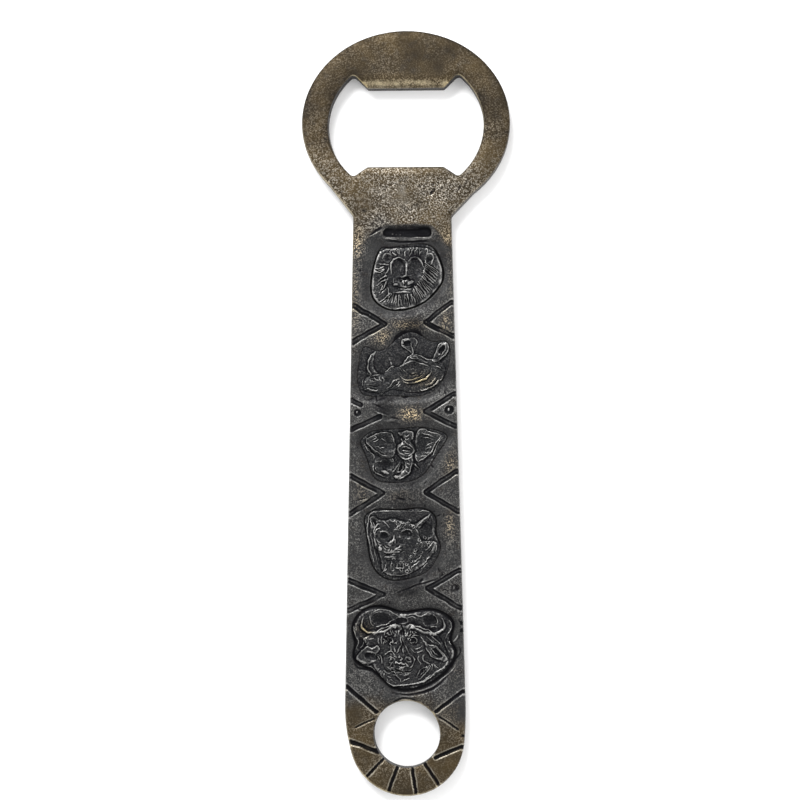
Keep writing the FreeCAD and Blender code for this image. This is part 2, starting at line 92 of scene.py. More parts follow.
def blur(field, cells):
    """Gaussian blur, mirrored at the borders."""
    reach = int(3 * cells) + 1
    padded = np.pad(field, reach, mode="reflect" if min(field.shape) > reach else "edge")
    rows = np.fft.fftfreq(padded.shape[0])[:, None]
    columns = np.fft.rfftfreq(padded.shape[1])[None, :]
    keep = np.exp(-2 * (math.pi * cells) ** 2 * (rows**2 + columns**2))
    blurred = np.fft.irfft2(np.fft.rfft2(padded) * keep, padded.shape)
    return blurred[reach:-reach, reach:-reach]


TAPERS = {
    "none": lambda along: np.ones_like(along),
    "both": lambda along: np.clip(np.minimum(along, 1 - along) * 3.2, 0, 1) ** 0.7,
    "end": lambda along: np.clip((1 - along) * 1.6, 0, 1) ** 0.8,
    "start": lambda along: np.clip(along * 1.6, 0, 1) ** 0.8,
}


class Relief:
    """A height field in millimetres on an even grid, shaped by strokes, cuts and mounds."""

    def __init__(self, low, high, step, level):
        self.step = step
        self.low = np.array(low, float)
        self.columns = low[0] + step * np.arange(int((high[0] - low[0]) / step) + 2)
        self.rows = low[1] + step * np.arange(int((high[1] - low[1]) / step) + 2)
        self.z = np.full((len(self.rows), len(self.columns)), float(level))

    def cells(self, low, high):
        """The first and last-plus-one rows and columns that cover a rectangle."""
        first = np.floor((np.asarray(low) - self.low) / self.step).astype(int)
        last = np.ceil((np.asarray(high) - self.low) / self.step).astype(int) + 1
        first = np.maximum(first, 0)
        last = np.clip(last, first, self.z.shape[::-1])
        return slice(first[1], last[1]), slice(first[0], last[0])

    def near(self, line, reach):
        """The part of the grid round a line, with each point's distance to the line, how far
        along it the nearest spot is and, for a closed line, whether it is inside."""
        part = self.cells(line.min(0) - reach, line.max(0) + reach)
        gap = np.full(self.z.shape, 1e3)
        along = np.zeros(self.z.shape)
        inside = np.zeros(self.z.shape, bool)
        for i, (a, b) in enumerate(zip(line, line[1:])):
            rows, columns = self.cells(np.minimum(a, b) - reach, np.maximum(a, b) + reach)
            x, y = self.columns[columns][None, :], self.rows[rows][:, None]
            run = b - a
            share = ((x - a[0]) * run[0] + (y - a[1]) * run[1]) / max(run @ run, 1e-12)
            share = np.clip(share, 0, 1)
            here = np.hypot(x - a[0] - share * run[0], y - a[1] - share * run[1])
            closer = here < gap[rows, columns]
            gap[rows, columns][closer] = here[closer]
            along[rows, columns][closer] = (i + share[closer]) / (len(line) - 1)
            spanned = (np.array([min(a[1], b[1]), max(a[1], b[1])]) - self.low[1]) / self.step
            first_row, past_row = np.clip(np.ceil(spanned).astype(int), 0, len(self.rows))
            for row in range(first_row, past_row):
                crossing = a[0] + (self.rows[row] - a[1]) * run[0] / run[1]
                last = int(np.ceil((crossing - self.low[0]) / self.step))
                inside[row, : max(last, 0)] ^= True
        return part, gap[part], along[part], inside[part]

    def everywhere(self):
        return np.meshgrid(self.columns, self.rows)

    def stroke(self, points, width, height, taper="both", closed=False):
        """Adds a rounded ridge along a smooth curve, or a groove when height is negative."""
        line = smooth_line(points, closed)
        part, gap, along, _ = self.near(line, width / 2)
        swell = TAPERS["none" if closed else taper](along)
        across = np.clip(gap / (width / 2 * np.maximum(swell, 0.15)), 0, 1)
        self.z[part] += height * swell * (1 - across**2) ** 2

    def cut(self, points, width, depth, wall=0.35, burr=0.0, closed=False, smooth=True):
        """Presses a groove with a flat floor, sloping walls and raised lips beside it."""
        line = smooth_line(points, closed) if smooth else np.array(points, float)
        part, gap, _, _ = self.near(line, width / 2 + 3 * wall)
        self.z[part] -= depth * (1 - smooth_step((gap - width / 2) / wall + 0.5))
        lip = np.exp(-(((gap - width / 2 - wall) / (0.6 * wall)) ** 2))
        self.z[part] += burr * lip

    def mound(self, outline, height, shoulder):
        """Raises the inside of a smooth outline like a pillow with rounded shoulders."""
        line = smooth_line(outline, closed=True)
        part, gap, _, inside = self.near(line, shoulder)
        rise = np.clip(gap / shoulder, 0, 1) * inside
        self.z[part] += height * np.sqrt(1 - (1 - rise) ** 2)

    def dome(self, centre, half, height, angle=0.0, flat=1.0):
        """Adds an oval bump (a dimple when height is negative). flat under 1 is blunter."""
        reach = max(half)
        part = self.cells(np.array(centre) - reach, np.array(centre) + reach)
        turn = math.radians(angle)
        x = self.columns[part[1]][None, :] - centre[0]
        y = self.rows[part[0]][:, None] - centre[1]
        u = (x * math.cos(turn) + y * math.sin(turn)) / half[0]
        v = (y * math.cos(turn) - x * math.sin(turn)) / half[1]
        self.z[part] += height * np.clip(1 - u**2 - v**2, 0, 1) ** flat

    def strands(self, start_line, end_line, count, width, height, seed, bend=0.25, wander=0.12):
        """Combs hair: thin ridges with grooves between, from one guide line to another."""
        chance = np.random.default_rng(seed)
        starts = even_points(smooth_line(start_line), count)
        ends = even_points(smooth_line(end_line), count)
        for start, end in zip(starts, ends):
            start = start + chance.normal(0, wander, 2)
            end = end + chance.normal(0, wander, 2)
            across = np.array([start[1] - end[1], end[0] - start[0]])
            middle = (start + end) / 2 + across * bend * chance.normal(0.3, 0.5)
            size = chance.uniform(0.75, 1.25)
            self.stroke([start, middle, end], width * size, height * size, "end")
            beside = across / max(np.hypot(*across), 1e-6) * width * 0.55
            line = [start + beside, middle + beside, end + beside]
            self.stroke(line, width * 0.8, -height * 0.8 * size, "both")

    def soften(self, radius):
        self.z = blur(self.z, radius / self.step)

    def noise(self, lump, seed):
        """Even random lumps about this many millimetres across, with unit spread."""
        chance = np.random.default_rng(seed)
        field = blur(chance.standard_normal(self.z.shape), lump / 2.4 / self.step)
        return field / field.std()

    def wobble(self, field, reach, lump, seed):
        """The field with its lines shaken sideways by about reach, as a worn die leaves them."""
        x, y = self.everywhere()
        places = np.column_stack([
            (x + reach * self.noise(lump, seed)).ravel(),
            (y + reach * self.noise(lump, seed + 1)).ravel(),
        ])
        return self.sample(field, places).reshape(field.shape)

    def sample(self, field, places):
        """The field's values at some places, blended between grid points."""
        cell = (places - self.low) / self.step
        column = np.clip(cell[:, 0], 0, self.z.shape[1] - 1.001)
        row = np.clip(cell[:, 1], 0, self.z.shape[0] - 1.001)
        c, r = column.astype(int), row.astype(int)
        u, v = column - c, row - r
        lower = field[r, c] * (1 - u) + field[r, c + 1] * u
        upper = field[r + 1, c] * (1 - u) + field[r + 1, c + 1] * u
        return lower * (1 - v) + upper * v

    def patch(self, centre, half):
        """A soft oval patch, 1 in its middle and fading to 0 round it."""
        x, y = self.everywhere()
        return np.exp(-(((x - centre[0]) / half[0]) ** 2) - ((y - centre[1]) / half[1]) ** 2)

    def press_seam(self, signed, depth, width):
        """Lowers the skin along a tile's border, where signed is 0."""
        line = depth * np.exp(-((np.maximum(signed, 0) / width) ** 2)) * (signed > -1)
        for centre, half, share in SEAM_FADES:
            line *= 1 - share * self.patch(centre, half)
        self.z -= line

    def outline_distance(self, line, reach):
        """Signed distance to a closed outline, positive inside, exact within reach."""
        signed = np.full(self.z.shape, -1e3)
        part, gap, _, inside = self.near(line, reach)
        signed[part] = np.where(inside, gap, -gap)
        return signed


def even_points(line, count):
    """Points evenly spaced along a polyline."""
    runs = np.hypot(*np.diff(line, axis=0).T)
    walked = np.concatenate([[0], np.cumsum(runs)])
    wanted = np.linspace(0, walked[-1], count)
    return np.stack([np.interp(wanted, walked, line[:, i]) for i in (0, 1)], axis=1)


# ---------------------------------------------------------------- outlines of the CAD pieces

def outlines_at(node, height):
    """The closed outlines of a CAD node where a level plane cuts it, longest first."""
    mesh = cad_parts[node].data
    mesh.calc_loop_triangles()
    places = np.empty(len(mesh.vertices) * 3)
    mesh.vertices.foreach_get("co", places)
    places = places.reshape(-1, 3) / MM
    corners = np.empty(len(mesh.loop_triangles) * 3, int)
    mesh.loop_triangles.foreach_get("vertices", corners)
    triangles = places[corners.reshape(-1, 3)]
    above = triangles[:, :, 2] > height
    crossing = triangles[above.any(1) & ~above.all(1)]
    following = {}
    for triangle in crossing:
        ends = []
        for a, b in ((0, 1), (1, 2), (2, 0)):
            p, q = triangle[a], triangle[b]
            if (p[2] > height) != (q[2] > height):
                # The ends are taken in one order, so that neighbours agree to the last digit.
                low, high = (p, q) if p[2] < q[2] else (q, p)
                share = (height - low[2]) / (high[2] - low[2])
                spot = low + (high - low) * share
                ends.append((round(spot[0], 4), round(spot[1], 4)))
        if ends[0] != ends[1]:
            following.setdefault(ends[0], []).append(ends[1])
            following.setdefault(ends[1], []).append(ends[0])
    loops = []
    while following:
        start = next(iter(following))
        loop, spot = [start], start
        while True:
            steps = following.get(spot)
            if not steps:
                break
            after = steps.pop()
            if not steps:
                del following[spot]
            back = following.get(after)
            if back and spot in back:
                back.remove(spot)
                if not back:
                    del following[after]
            if after == start:
                break
            loop.append(after)
            spot = after
        if len(loop) > 8:
            loops.append(np.array(loop))
    return sorted(loops, key=lambda loop: -line_length(loop))


def closed_line(loop):
    return np.vstack([loop, loop[:1]])


def line_length(loop):
    return np.hypot(*np.diff(closed_line(loop), axis=0).T).sum()


def signed_area(loop):
    x, y = loop.T
    return 0.5 * np.sum(x * np.roll(y, -1) - np.roll(x, -1) * y)


def even_loop(loop, step, rounding, is_hole=False):
    """An outline resampled at even steps and gently rounded, with material on its left."""
    count = int(round(line_length(loop) / step))
    points = even_points(closed_line(loop), count + 1)[:-1]
    if (signed_area(points) > 0) == is_hole:
        points = points[::-1]
    width = rounding / step
    frequency = np.fft.fftfreq(len(points))
    keep = np.exp(-2 * (math.pi * width * frequency) ** 2)
    complex_points = np.fft.ifft(np.fft.fft(points[:, 0] + 1j * points[:, 1]) * keep)
    return np.stack([complex_points.real, complex_points.imag], axis=1)


def inside_outlines(points, loops):
    """True for points inside an odd number of closed outlines."""
    inside = np.zeros(len(points), bool)
    x, y = points.T
    for loop in loops:
        for a, b in zip(loop, np.roll(loop, -1, axis=0)):
            crosses = (a[1] > y) != (b[1] > y)
            if crosses.any():
                here = a[0] + (y[crosses] - a[1]) * (b[0] - a[0]) / (b[1] - a[1])
                inside[crosses] ^= x[crosses] < here
    return inside


def inward_normals(loop):
    """Unit directions into the material at each point of an even loop."""
    along = np.roll(loop, -1, axis=0) - np.roll(loop, 1, axis=0)
    normals = np.stack([-along[:, 1], along[:, 0]], axis=1)
    return normals / np.hypot(*normals.T)[:, None]


# ---------------------------------------------------------------- meshes

# What each point tells its material: how hollow, exposed, golden, grainy and dark the skin is.
POINT_VALUES = ("hollow", "crest", "gold", "grain", "dark")


class MeshMaker:
    """Collects points, faces and per-point values for one mesh."""

    def __init__(self):
        self.places = []
        self.faces = []
        self.values = {name: [] for name in POINT_VALUES}
        self.count = 0

    def add_points(self, flat, height, hollow=0.0, crest=0.0, gold=0.0, grain=0.4, dark=0.5):
        """Adds points over places in the plane, at one height or at a height for each."""
        first = self.count
        self.places.append(np.column_stack([flat, np.broadcast_to(height, len(flat))]))
        for name, value in zip(POINT_VALUES, (hollow, crest, gold, grain, dark)):
            self.values[name].append(np.broadcast_to(value, len(flat)))
        self.count += len(flat)
        return np.arange(first, self.count)

    def add_band(self, upper, lower):
        """Faces between two rings of equal length. Material is on the rings' left."""
        for a, b, c, d in zip(upper, np.roll(upper, -1), np.roll(lower, -1), lower):
            self.faces.append((a, d, c, b))

    def add_sheet(self, rings, inner_points, heights, values, upward=True):
        """Fills the area inside rings that exist already, using extra points inside it."""
        flat = [self.at(ring)[:, :2] for ring in rings]
        border = np.vstack(flat)
        everything = np.vstack([border, inner_points])
        edges = []
        start = 0
        for ring in flat:
            steps = np.arange(len(ring))
            edges += [(start + i, start + (i + 1) % len(ring)) for i in steps]
            start += len(ring)
        result = delaunay_2d_cdt([Vector(p) for p in everything], edges, [], 0, 1e-7)
        origins = np.array([origin[0] for origin in result[3]])
        triangles = origins[np.array(result[2])]
        # Only a triangle with all its corners on the borders can lie outside the material.
        on_border = (triangles < len(border)).all(1)
        middles = everything[triangles[on_border]].mean(1)
        keep = np.ones(len(triangles), bool)
        keep[on_border] = inside_outlines(middles, flat)
        new = np.array([], int)
        if len(inner_points):
            new = self.add_points(inner_points, heights, *values)
        index = np.concatenate(list(rings) + [new])
        faces = index[triangles[keep]]
        self.faces += (faces if upward else faces[:, ::-1]).tolist()

    def at(self, index):
        return np.vstack(self.places)[index]

    def build(self, name):
        mesh = bpy.data.meshes.new(name)
        mesh.from_pydata((np.vstack(self.places) * MM).tolist(), [], self.faces)
        for name_of_value, parts in self.values.items():
            layer = mesh.attributes.new(name_of_value, "FLOAT", "POINT")
            layer.data.foreach_set("value", np.concatenate(parts).astype(np.float32))
        mesh.validate()
        mesh.shade_smooth()
        piece = bpy.data.objects.new(name, mesh)
        bpy.context.collection.objects.link(piece)
        return piece


def lattice(low, high, step):
    """Points of a triangular lattice over a rectangle."""
    rise = step * math.sqrt(3) / 2
    rows = np.arange(low[1], high[1], rise)
    columns = np.arange(low[0], high[0], step)
    x, y = np.meshgrid(columns, rows)
    x[1::2] += step / 2
    return np.column_stack([x.ravel(), y.ravel()])


def patina_shade_and_wear(relief, rub):
    """How hollow and how exposed each part of a height field is, from 0 to 1. Broad hollows
    hold dark patina; the narrow creases are darkened further, as painted shade. A ridge that
    stands rub millimetres above what is round it is fully exposed."""
    broad = blur(relief.z, 0.8 / relief.step)
    fine = blur(relief.z, 0.26 / relief.step)
    # Painted shade: the second term darkens the narrow creases to near black.
    hollow = 0.5 * np.clip((broad - relief.z) / 0.4, 0, 1) + np.clip((fine - relief.z) / 0.07, 0, 0.9)
    crest = np.clip((relief.z - fine) / rub, 0, 1)
    return np.clip(hollow, 0, 1), crest


# ---------------------------------------------------------------- the casting

KNOCKS = 260          # small knocks and scratches over the relief zone

# Pressed V bands at the bar's edges: apex, upper edge point, lower edge point and width.
CHEVRONS = [
    ((-4.9, 20.6), (-12.3, 24.9), (-12.6, 16.2), 1.25),
    ((4.7, 20.9), (10.8, 25.6), (11.1, 17.6), 1.15),
    ((4.7, -0.1), (11.5, 4.2), (11.7, -3.5), 1.25),
    ((-5.4, -19.2), (-13.1, -15.1), (-13.0, -24.2), 1.25),
    ((4.8, -19.0), (11.9, -14.0), (11.9, -23.3), 1.15),
    ((-5.2, -43.0), (-13.1, -39.7), (-13.2, -46.7), 1.25),
    ((5.2, -41.5), (12.4, -37.3), (12.7, -46.0), 1.2),
]
# The second band on the left is smeared: its arms stop short of each other.
BROKEN_CHEVRON = [
    ((-13.9, 3.4), (-10.6, 1.5), 1.1),
    ((-14.2, -4.9), (-6.0, -1.2), 1.2),
]
# Pressed rings beside the bands: centre, radius and depth.
RING_MARKS = [
    ((-11.3, -0.4), 0.55, 0.34),
    ((10.3, 0.3), 0.75, 0.5),
    ((-11.7, -43.2), 0.72, 0.14),
    ((11.5, -41.5), 0.8, 0.26),
]
# Cuts round the eye: start, end and width.
EYE_CUTS = [
    ((-15.5, -63.0), (-6.8, -70.4), 0.85),
    ((15.5, -64.0), (7.2, -70.2), 0.8),
    ((-7.4, -72.0), (-11.7, -74.0), 0.3),
    ((8.1, -71.5), (12.4, -74.4), 0.35),
    ((-15.5, -76.4), (-6.0, -79.8), 0.95),
    ((7.0, -81.0), (15.5, -77.4), 0.8),
    ((-5.2, -81.4), (-9.0, -85.4), 0.6),
    ((-1.9, -83.3), (-4.0, -88.6), 0.7),
    ((1.6, -83.3), (2.4, -89.4), 0.65),
    ((4.6, -82.4), (7.8, -87.5), 0.7),
]


def extended(apex, edge, extra):
    """A point past edge on the line from apex."""
    run = np.array(edge) - np.array(apex)
    return np.array(edge) + run / np.hypot(*run) * extra


def press_ornament(relief):
    """The bands, ring marks, cuts, cracks and knocks in the bar's front."""
    for apex, upper, lower, width in CHEVRONS:
        arms = [extended(apex, upper, 1.5), np.array(apex), extended(apex, lower, 1.5)]
        relief.cut(arms, width, 0.36, 0.24, 0.015, smooth=False)
        # The tool left a fine rib along the floor of each band.
        relief.stroke(arms[:2], 0.4, 0.1, "none")
        relief.stroke(arms[1:], 0.4, 0.07, "none")
    for start, end, width in BROKEN_CHEVRON:
        relief.cut([start, end], width, 0.3, 0.26, 0.02)
    for centre, radius, depth in RING_MARKS:
        relief.dome(centre, (radius + 0.4, radius + 0.35), -depth, 0, 0.5)
        boss = (centre[0] - 0.15, centre[1] + 0.1)
        relief.dome(boss, (0.4 * radius, 0.7 * radius), 0.8 * depth, -20)
    for start, end, width in EYE_CUTS:
        relief.cut([start, end], width, 0.45, 0.3, 0.045)
    relief.dome((13.6, -75.8), (0.9, 0.5), -0.4, 20)
    for width, height, *points in SKIN_LINES:
        relief.stroke(points, width, height)
    # Small knocks and scratches all over the relief zone.
    chance = np.random.default_rng(5)
    for _ in range(KNOCKS):
        middle = np.array([chance.uniform(-13, 13), chance.uniform(-66, 40)])
        turn = chance.uniform(0, math.pi)
        half = np.array([math.cos(turn), math.sin(turn)]) * chance.uniform(0.2, 0.9)
        relief.stroke([middle - half, middle + half], 0.45, chance.uniform(-0.16, 0.13))


# Cracks, folds and tool lines in the cast skin: width, height and points.
SKIN_LINES = [
    (0.45, -0.2, (11.9, -36.8), (9.2, -38.2), (6.5, -39.7), (3.2, -40.7), (0.2, -41.7), (-2.2, -42.8)),
    (0.4, 0.12, (9.4, -37.6), (6.6, -39.2), (3.4, -40.2), (1.0, -41.0)),
    (0.7, -0.3, (-3.1, -68.3), (-2.0, -67.6), (0.25, -67.1), (2.3, -67.5), (3.0, -67.9)),
    (0.9, -0.22, (-8.9, 41.2), (-7.6, 42.2), (-6.4, 42.9), (-5.4, 43.4)),
    (0.4, 0.14, (-9.4, 40.6), (-8.2, 41.4), (-6.8, 42.1), (-5.6, 42.5)),
    (0.5, -0.16, (-8.6, 2.0), (-6.8, 1.4), (-5.4, 0.6)),
    (0.5, 0.14, (-8.2, 0.6), (-6.4, -0.4), (-4.6, -1.0), (-3.4, -1.6)),
    (0.5, -0.14, (-3.8, -1.4), (-2.2, -1.8), (-0.8, -2.0)),
    (0.4, 0.12, (-3.4, -2.2), (-2.0, -2.6), (-0.4, -2.5)),
    (0.45, -0.2, (-12.9, -21.4), (-10.2, -20.6), (-8.4, -20.3)),
    (0.4, -0.16, (0.4, -20.2), (1.6, -21.0), (2.8, -21.2)),
    (0.35, 0.12, (-8.0, -25.4), (-9.4, -24.2), (-10.4, -23.4)),
    (0.35, 0.14, (-9.0, -24.0), (-7.2, -22.6), (-5.6, -22.0)),
    (2.4, -0.2, (-3.2, 16.0), (-1.6, 17.8), (0.8, 18.4), (3.0, 18.2), (4.8, 16.6)),
    (0.6, -0.14, (-13.2, -47.6), (-11.6, -46.6), (-9.6, -46.6), (-8.0, -45.4)),
    (0.8, -0.24, (12.2, -48.6), (13.2, -50.4), (12.6, -52.2)),
    (0.6, 0.22, (12.4, -51.8), (11.9, -53.2), (10.9, -54.2)),
    (0.5, -0.24, (12.4, -54.6), (12.9, -56.2), (12.2, -57.4), (11.2, -58.4)),
    (0.4, 0.2, (11.9, -58.2), (11.3, -60.2), (9.2, -62.2), (6.8, -63.8)),
    (0.9, -0.3, (-4.0, -65.8), (-1.0, -66.3), (2.4, -66.2), (5.6, -65.2), (8.4, -63.4), (10.6, -61.0)),
    (0.3, 0.14, (-3.8, -65.0), (-1.6, -65.3), (1.4, -65.3), (4.6, -64.5)),
    (0.8, -0.26, (-12.4, -58.8), (-11.0, -60.1), (-9.2, -60.4), (-7.8, -60.9)),
]


def press_slot(relief):
    """The oblong recess above the lion."""
    relief.cut([(-4.0, 42.35), (0.4, 42.5), (5.0, 42.35)], 2.2, 0.3, 0.9)
    relief.cut([(-4.4, 42.0), (0.4, 41.9), (5.2, 42.0)], 1.9, 0.32, 0.5)
    for place in ((-3.1, 41.75), (-2.2, 41.6), (-1.2, 41.65)):
        relief.dome(place, (0.5, 0.2), 0.2, 15)
    relief.stroke([(-5.6, 41.2), (-4.8, 40.7), (-2.4, 40.4), (3.4, 40.4), (5.6, 40.7), (6.4, 41.2)],
                  0.34, 0.16)
    relief.stroke([(-5.4, 40.1), (-2.4, 39.9), (3.4, 39.9), (6.0, 40.1)], 0.8, -0.16)


# The worn faces of the lips: where each starts to roll over, which way along y it rolls, over
# what reach and how deep.
LIP_FACES = [
    (79.6, -1, 3.2, 0.5),
    (56.2, 1, 1.6, 0.35),
]
LIP_HALF = 12.4       # the worn faces reach this far to either side
RING_MIDDLE = 66      # between the two lips


def press_lips(relief):
    """The worn faces along both lips, which roll over towards the opening."""
    x, y = relief.everywhere()
    for edge, side, reach, depth in LIP_FACES:
        past_edge = side * (y - edge)
        roll = np.clip(past_edge / reach, 0, 1.3)
        face = (np.abs(x) < LIP_HALF) & (past_edge > 0) & (side * (RING_MIDDLE - y) > 0)
        relief.z[face] -= (depth * roll**2)[face]


# Where the cast skin of the relief zone is pressed into a soft pan round a motif.
PANS = [
    [(-9.6, 37.5), (-7.4, 40.4), (-3.0, 40.5), (4.5, 40.5), (8.2, 39.7), (9.9, 36.0),
     (10.2, 30.0), (7.0, 25.2), (0.5, 22.6), (-5.5, 22.8), (-9.8, 26.0), (-10.8, 32.0)],
    [(-12.2, 12.0), (-9.5, 15.6), (-5.5, 15.0), (-3.4, 17.6), (1.4, 19.4), (5.0, 18.0),
     (9.5, 17.6), (11.3, 13.0), (11.2, 7.0), (6.0, 3.2), (-4.0, 2.6), (-11.2, 3.2),
     (-12.6, 7.0)],
    [(-11.4, -5.6), (-7.0, -3.6), (0.0, -3.0), (7.0, -3.4), (11.0, -5.6), (9.0, -10.5),
     (5.4, -15.6), (0.8, -17.8), (-6.5, -17.2), (-9.6, -14.0)],
    [(-10.2, -23.0), (-4.0, -22.2), (6.4, -22.3), (8.2, -24.6), (8.6, -29.0), (9.6, -31.5),
     (8.4, -36.0), (3.0, -40.4), (-5.6, -40.4), (-8.6, -37.4), (-10.6, -29.0)],
    [(-12.9, -48.0), (-6.0, -44.8), (0.0, -46.2), (6.0, -45.8), (12.4, -48.8), (12.9, -57.0),
     (9.0, -63.4), (4.6, -66.0), (-3.6, -66.0), (-9.0, -61.2), (-13.2, -58.6), (-13.6, -52.0)],
]
PAN_DEPTH = 0.16
# The blackened skin reaches up round the slot under this arch.
ARCH = [(-9.2, 38.5), (-8.5, 41.3), (-5.6, 43.7), (-3.0, 44.1), (5.0, 44.0), (7.2, 42.8),
        (9.2, 40.0), (9.4, 37.5)]


# Lands between the tiles where the dark patina has stayed: centre, half size, strength.
GRIME = [
    ((2.0, 20.2), (5.0, 2.5), 0.42),
    ((-5.0, 0.5), (2.5, 2.5), 0.6),
    ((0.4, -19.8), (5.0, 2.6), 0.36),
    ((0.4, -42.0), (5.0, 2.4), 0.55),
]


def casting_relief(loops):
    """The casting's front height over its whole footprint, and the grain of its skin."""
    relief = Relief((-25.4, -90.8), (25.4, 90.8), 0.1, PLATE)
    x, y = relief.everywhere()
    relief.z += 0.035 * relief.noise(9.0, 1)
    # The ring and the bar are a touch fuller in their middle than at their rims.
    for name in ("outer", "opening", "eye"):
        gap = np.abs(relief.outline_distance(closed_line(loops[name]), 3.0))
        relief.z -= 0.16 * (1 - smooth_step(gap / 2.2))
    pans = np.zeros_like(relief.z)
    for outline in PANS:
        line = smooth_line(outline, closed=True)
        signed = relief.outline_distance(line, 3.0)
        pans = np.maximum(pans, smooth_step(signed / 2.6 + 0.5))
    relief.z -= PAN_DEPTH * pans
    press_lips(relief)
    for outline, (ground, depth, width) in zip(loops["seats"], GROUND.values()):
        signed = -relief.outline_distance(closed_line(outline), 2.5)
        relief.z = ground + (relief.z - ground) * smooth_step(signed / 2.0)
        relief.press_seam(signed, depth, width)
    unpressed = relief.z.copy()
    press_slot(relief)
    press_ornament(relief)
    change = relief.wobble(relief.z - unpressed, 0.05, 1.5, 13)
    change *= np.clip(0.85 + 0.14 * relief.noise(1.6, 15), 0.4, 1.1)
    relief.z = unpressed + change
    pressed = np.clip(-change / 0.36, 0, 1)
    # Cast skin: pebbled all over, coarsest at the neck, smoothest in the pans and on top.
    grain = 0.36 + 0.44 * np.exp(-(((y - 49) / 9) ** 2)) - 0.22 * smooth_step((y - 62) / 12)
    grain -= 0.05 * smooth_step((6 - y) / 10) * smooth_step((y + 66) / 3)
    grain *= np.clip(1 + 0.3 * relief.noise(4.0, 16), 0.4, 1.5)
    grain -= 0.14 * smooth_step((-66 - y) / 5)
    for centre, half, strength in GOLD_PATCHES:
        grain = np.maximum(grain, min(strength, 1) * relief.patch(centre, half))
    grain *= (1 - 0.7 * pans) * (1 - 0.7 * pressed)
    lips = lip_bands(relief)
    grain = np.maximum(grain, 0.5 * lips)
    relief.z += grain * (0.022 * relief.noise(0.42, 2) + 0.016 * relief.noise(0.9, 3))
    relief.z += 0.018 * relief.noise(2.2, 4)
    for centre, half, height, angle in DENTS:
        relief.dome(centre, half, height, angle)
    dark = smooth_step((46.0 - y + 1.5 * relief.noise(6, 10)) / 8)
    dark *= smooth_step((y + 75 + 1.5 * relief.noise(5, 11)) / 9)
    arch = relief.outline_distance(smooth_line(ARCH, closed=True), 2.0)
    arch = smooth_step(arch / 0.8 + 0.5)
    dark = np.maximum(dark, arch)
    hollow, crest = patina_shade_and_wear(relief, 0.15)
    shade = 0.25 * np.maximum(pans, arch) + 0.07 * np.clip(relief.noise(3.0, 17), -0.5, 2)
    shade += 0.28 * smooth_step((y - 57) / 9) * (1 - np.clip(1.6 * lips, 0, 1))
    for centre, half, strength in GRIME:
        shade += strength * relief.patch(centre, half)
    hollow = np.clip(np.maximum(hollow, 0.52 * pressed) + shade, 0, 1)
    # The faces of the lips are made lighter, in specks.
    specks = 0.49 + 0.07 * relief.noise(0.4, 9) + 0.08 * relief.noise(1.6, 12)
    crest = np.maximum(crest, lips * np.clip(specks, 0.1, 0.6))
    # The bare neck is rubbed lightly all over.
    neck = np.exp(-(((y - 50.5) / 6) ** 2)) * np.exp(-(((x + 1) / 12) ** 2))
    crest = np.maximum(crest, neck * np.clip(0.31 + 0.05 * relief.noise(1.2, 18), 0.1, 0.45))
    return relief, (hollow, crest, gold_map(relief) * (1 - pans), grain * (1 - 0.6 * arch), dark)


# Casting faults and knocks that the bar shows: centre, half size, height and angle.
DENTS = [
    ((-8.4, 3.6), (1.4, 0.7), 0.16, 25),
    ((-5.8, 2.1), (2.2, 0.6), 0.12, 20),
    ((-3.4, -2.2), (1.6, 0.4), 0.14, 10),
    ((0.0, 3.4), (0.9, 0.5), -0.18, 0),
    ((6.3, 51.6), (1.2, 0.5), -0.14, 60),
    ((13.6, 53.4), (1.8, 0.45), 0.12, 65),
    ((12.6, 52.2), (1.6, 0.4), -0.1, 60),
    ((-9.8, 47.2), (0.9, 0.7), -0.1, 0),
    ((8.4, -38.4), (0.8, 0.3), -0.14, 30),
    ((3.6, -39.9), (1.0, 0.35), -0.16, 55),
    ((-1.0, -20.6), (1.4, 0.35), -0.1, -15),
]

# Radius of the rounded edge of each kind of outline, front and back.
EDGE_ROUND = {"outer": 0.55, "opening": 0.4, "eye": 0.38}
ROUND_STEPS = 3       # steps round each rounded edge
WALL_STEPS = 3        # rings of points up each wall
EDGE_WEAR_AND_HIGHLIGHT = 0.55      # how brightly the front edges shine: worn metal on every edge, plus a painted highlight on those facing down and left
